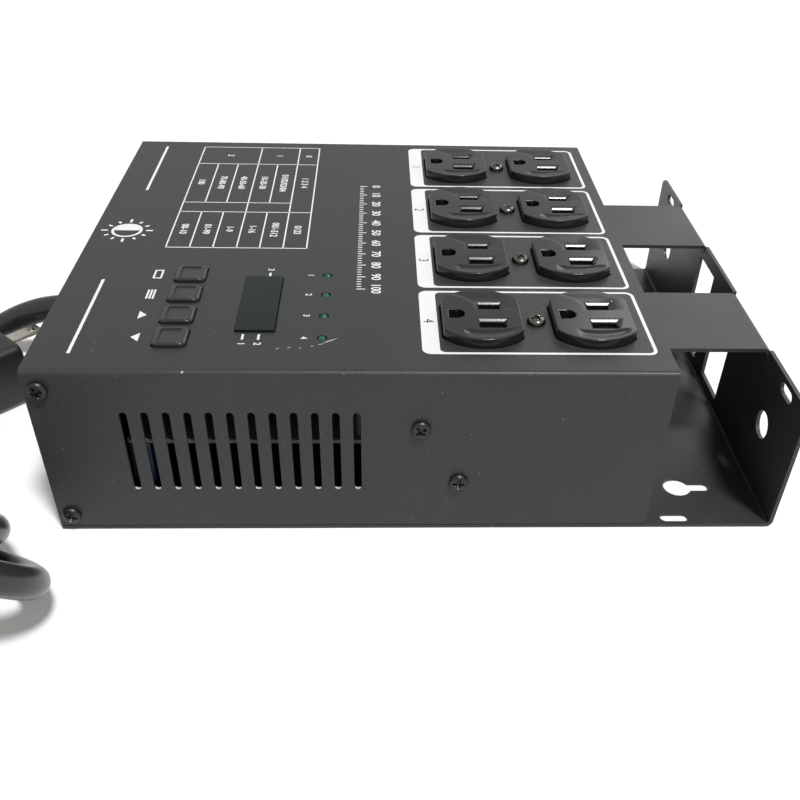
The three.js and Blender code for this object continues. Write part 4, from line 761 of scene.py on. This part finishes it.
hank_low, hank_layer, hank_start = 5.45, 12.0, 58.0
climb_after, climb_long, tilt_from, tilt_full = 57, 50, -190, 34
half_turn = math.pi * fold
stretches = np.array((half_turn, run, half_turn, run - short, half_turn, run - short))


def hank_point(gone):
    """The hank at distances along it. Each half turn is a sine and a cosine of its fold's radius and each run
    is straight, first as a place along and beside the hank. Then the near end is tilted up about the hank's
    front run, by an S-curve of the place along, the second round is laid on top by an S-curve of the
    distance, and the whole is turned in plan."""
    starts = np.concatenate(([0], np.cumsum(stretches)))
    stretch = np.clip(np.searchsorted(starts, gone, side="right") - 1, 0, 5)
    part = gone - starts[stretch]
    near = np.where(stretch < 3, 0, -short)
    bulge, side = fold * np.sin(part / fold), fold * np.cos(part / fold)
    kinds = [part < 0] + [stretch % 4 == kind for kind in range(3)]
    along = np.select(kinds, (part, near + bulge, near - part, -run - bulge), -run + part)
    offset = np.select(kinds, (fold + 0 * part, side, -fold + 0 * part, -side), fold)
    climb_from = 2 * half_turn + run + climb_after
    layer = hank_layer * ramp(gone, climb_from, climb_from + climb_long)
    tilt = hank_tilt * ramp(along, tilt_from, tilt_full)
    out = fold - offset
    across = fold - out * np.cos(tilt) + layer * np.sin(tilt)
    return np.stack((
        hank[0] + along * math.cos(hank_turn) + across * math.sin(hank_turn),
        hank[1] - along * math.sin(hank_turn) + across * math.cos(hank_turn),
        hank_low + out * np.sin(tilt) + layer * np.cos(tilt),
    ), -1)


def eased(points, step):
    """A smooth line through points: between two of them it is the cubic that leaves each along the line
    joining its neighbours, sampled every `step`."""
    points = np.asarray(points, float)
    gap = np.sqrt(np.linalg.norm(np.diff(points, axis=0), axis=1))
    knots = np.concatenate(([0], np.cumsum(gap)))
    slopes = np.gradient(points, knots, axis=0, edge_order=2)
    made = []
    for start, (low, high) in enumerate(zip(knots[:-1], knots[1:])):
        parts = max(2, int(np.linalg.norm(points[start + 1] - points[start]) / step))
        t = np.linspace(0, 1, parts, endpoint=False)[:, None]
        wide = high - low
        made.append(
            (2 * t**3 - 3 * t**2 + 1) * points[start] + (t**3 - 2 * t**2 + t) * wide * slopes[start]
            + (3 * t**2 - 2 * t**3) * points[start + 1] + (t**3 - t**2) * wide * slopes[start + 1])
    return np.concatenate((*made, points[-1:]))


exit_mm, inside_plug, step, hank_cut = (-19.0, 118, 25.0), (-84.9, 49.85, 13.5), 2.5, 6
hank_gone = np.arange(0.5 - hank_start, stretches.sum() - hank_cut, step)
cord_line = np.concatenate((
    eased((exit_mm, *lead_route), step), hank_point(hank_gone), eased((*plug_route, inside_plug), step)))
cord_line = (cord_line + corner_mm) / 1000
curve = bpy.data.curves.new("mains_cord", "CURVE")
curve.dimensions = "3D"
line = curve.splines.new("POLY")
line.points.add(len(cord_line) - 1)
line.points.foreach_set("co", np.column_stack((cord_line, np.ones(len(cord_line)))).ravel())
curve.bevel_depth = cord_wide / 2000
curve.bevel_resolution = 13
curve.use_fill_caps = True
curve.materials.append(jacket)
cord = add_object("mains_cord", curve)
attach(cord, "case")
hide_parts("mains_lead", "lead_hank", "plug_lead")

relief_black = finish("relief_black", (0.02, 0.02, 0.021), 0.5, mottle=0.08)
relief_y, relief_z, rib_from, rib_to = 118, 25, 3.4, 19.6


def grooves(at, low, high, pitch, deep, rise):
    """How deep the grooves between ribs lie: a sine of the place, cut off by an S-curve."""
    return deep * ramp(np.sin(2 * math.pi * (at - low) / pitch), *rise) * ((at > low) & (at < high))


ribs_at = np.linspace(rib_from, rib_to, 66)
sleeve_radius = np.interp(ribs_at, (3, 21), (9.0, 6.7))
sleeve_radius -= grooves(ribs_at, rib_from, rib_to, pitch=2.9, deep=0.85, rise=(0.1, 0.75))
relief_profile = [
    (pole, -9), (7.3, -9), (7.6, -8.6), (7.6, -1.8), (8.2, -1.75), (8.2, 0.3), (10.1, 0.3), (10.4, 0.6),
    (10.4, 2.5), (10.1, 2.9), (9.2, 3.1), *zip(sleeve_radius, ribs_at), (6.5, 20.6), (6.2, 21), (5.5, 21),
    (5.2, 20), (pole, rib_to)]
relief_rows = on_panel(turned(relief_profile, 64), relief_y, relief_z)
relief = piece("ribbed_strain_relief", [skin(relief_rows)], relief_black, ["strain_relief"])


# Plug.
# A moulded rubber body on its side with two plated blades one over the other and a round earth pin. Its back
# narrows to a ribbed neck over the cord.
plug, plug_turn = np.array((-43.5, 93.0, 13.5)), math.radians(46.2)
plug_way = np.array((math.cos(plug_turn), math.sin(plug_turn), 0))
plug_side = np.array((-plug_way[1], plug_way[0], 0))


def on_plug(rows):
    """Turns rows given across the plug, up and out of its front face to the box's axes, and moves them."""
    return np.asarray(rows) @ np.stack((plug_side, (0, 0, 1), plug_way)) + plug


body_wide, body_thick, body_corner = 16, 13.5, 3.5  # half of each across the plug
front_round, front_over, end_round, end_over, plug_long = 1.3, 1.6, 1.0, 0.8, 62
back = np.concatenate((
    (0, 0.25, 0.8, front_over), np.linspace(2.6, 42, 60), np.linspace(42.6, 61.2, 70), (61.8, plug_long)))
rounding = front_round * (1 - np.sqrt(1 - (1 - np.clip(back / front_over, 0, 1)) ** 2))
rounding += end_round * np.clip((back - plug_long) / end_over + 1, 0, 1) ** 2
neck = np.interp(back, (42, plug_long), (8.4, 6.6))
neck -= grooves(back, 45, 60, pitch=3, deep=0.7, rise=(0.1, 0.8))
grip = grooves(back, 22, 39.4, pitch=3.4, deep=0.55, rise=(0, 0.8))
half_wide = body_wide + (neck - body_wide) * ramp(back, 19, 44) - rounding - grip
half_thick = body_thick + (neck - body_thick) * ramp(back, 27, 44) - rounding
corner = body_corner + (neck - body_corner) * ramp(back, 22, 42)
corner = np.minimum(np.minimum(half_wide, half_thick) - 0.05, corner)
plug_rows = [np.column_stack((rounded_loop(a, b, r, 9), np.full(40, -s)))
             for a, b, r, s in zip(half_wide, half_thick, corner, back)]
plug_rubber = finish("plug_rubber", (0.014, 0.0145, 0.0148), 0.42, mottle=0.1, mottle_mm=12, grain_mm=0.6)
plug_body = piece("moulded_plug", [skin(on_plug(plug_rows[::-1]))], plug_rubber, ["plug"], smooth=50)
blade_half_wide, blade_half_thick, blade_tip, blade_foot = 3.15, 0.75, 17.8, 0.3
blade_hole, blades_up, blades_side = 1.6, 6.35, 4
blade_u, blade_w = circle(64).T
hole_at = blade_tip - blade_half_wide - 0.4
corner_cut = 1.2 * ramp(np.abs(blade_w), 0.55, 1.0)
reach = np.where(blade_u > 0, blade_tip - corner_cut, blade_foot) - hole_at
hole_rows = np.stack((blade_hole * blade_w, hole_at + blade_hole * blade_u))
edge_rows = np.stack((blade_half_wide * np.clip(1.6 * blade_w, -1, 1),
                      hole_at + reach * np.clip(1.6 * np.abs(blade_u), 0, 1)))
for name, high in (("line_blade", -blades_up), ("neutral_blade", blades_up)):
    rows = []
    for share, thick in ((0, -1), (0.9, -1), (1, -0.55 / 0.75), (1, 0.55 / 0.75), (0.9, 1), (0, 1)):
        side, along = hole_rows + share * (edge_rows - hole_rows)
        level = np.full(64, high + thick * blade_half_thick)
        rows.append(np.column_stack((blades_side - side, level, along)))
    blade = piece(name + "_plate", [skin(on_plug(rows), ring=True)], contact_metal, [name], smooth=30)
earth_pin, earth_side, earth_round_from = 2.4, -7.9, 18.1
tip_round = [(earth_pin * math.cos(a), earth_round_from + earth_pin * math.sin(a))
             for a in np.linspace(0, 1.5, 9)]
earth_rows = turned([(pole, 0.3), (earth_pin, 0.3), *tip_round], 40) + (earth_side, 0, 0)
earth = piece("earth_pin_round", [skin(on_plug(earth_rows))], contact_metal, ["earth_pin"])


# Table, lights and camera.
# A white sheet with no edge in view, a broad lamp high over the right front, far enough away to light it all
# alike, a weaker window behind on the right, and white walls that show most in the glossy surfaces.
half_floor_m, glow_seen = 6, 0.16
floor_mesh = bpy.data.meshes.new("table")
floor_corners = half_floor_m * np.array(((-1, -1, 0), (1, -1, 0), (1, 1, 0), (-1, 1, 0)))
floor_mesh.from_pydata(floor_corners.tolist(), [], [(0, 1, 2, 3)])
floor = add_object("table", floor_mesh)
white = bpy.data.materials.new("table_white")
white.use_nodes = True
tree = white.node_tree
shader = fill(tree, tree.nodes["Principled BSDF"], {
    "Base Color": (0.88, 0.88, 0.87, 1), "Roughness": 0.9, "Specular IOR Level": 0.1})
rays = add_node(tree, "LightPath").outputs
seen = add_node(tree, "Math", {0: rays["Is Camera Ray"], 1: rays["Is Glossy Ray"]}, operation="MAXIMUM")
glow = add_node(tree, "Math", {0: seen.outputs[0], 1: glow_seen}, operation="MULTIPLY")
emission = add_node(tree, "Emission", {"Strength": glow.outputs[0]})
both = add_node(tree, "AddShader", {0: shader.outputs[0], 1: emission.outputs[0]})
fill(tree, tree.nodes["Material Output"], {"Surface": both.outputs[0]})
floor_mesh.materials.append(white)

world = bpy.data.worlds.new("room")
bpy.context.scene.world = world
world.use_nodes = True
tree = world.node_tree
rays = add_node(tree, "LightPath").outputs
dim = fill(tree, tree.nodes["Background"], {"Color": (1, 0.975, 0.9, 1), "Strength": 0.21})
around_us = dim.outputs[0]
for kind, strength in (("Is Glossy Ray", 0.62), ("Is Transmission Ray", 1.0), ("Is Camera Ray", 1.0)):
    walls = add_node(tree, "Background", {"Color": (1, 1, 1, 1), "Strength": strength})
    around_us = add_node(tree, "MixShader", {0: rays[kind], 1: around_us, 2: walls.outputs[0]}).outputs[0]
fill(tree, tree.nodes["World Output"], {"Surface": around_us})


def shine(name, kind, energy, at, to, **settings):
    """A lamp at one place, turned to another."""
    light = bpy.data.lights.new(name, kind)
    light.energy = energy
    for setting, value in settings.items():
        setattr(light, setting, value)
    lamp = add_object(name, light)
    lamp.location = at
    lamp.rotation_euler = (Vector(at) - Vector(to)).to_track_quat("Z", "Y").to_euler()


shine("ceiling_lamp", "SUN", 2.9, (0.25, -0.38, 1), (0, 0, 0), angle=math.radians(8), color=(0.98, 0.99, 1))
shine("window_behind", "AREA", 3, (0.75, 1.1, 0.8), (0.05, 0, 0.06), shape="RECTANGLE", size=0.8, size_y=0.7)

optics = bpy.data.cameras.new("camera")
optics.sensor_width, optics.lens = 36, 41.576
optics.shift_x, optics.shift_y = -0.02289, 0.0955
optics.clip_start, optics.clip_end = 0.01, 50
camera = add_object("camera", optics)
right = Vector((0.99906, -0.03396, 0.02678))
up = Vector((0.00091, 0.63568, 0.77195))
behind = -Vector((0.04324, 0.7712, -0.63512))
facing = Matrix((right, up, behind)).transposed().to_4x4()
camera.matrix_world = Matrix.Translation((-0.01164, -0.35442, 0.23146)) @ facing
bpy.context.scene.camera = camera
bpy.context.scene.view_settings.view_transform = "Standard"
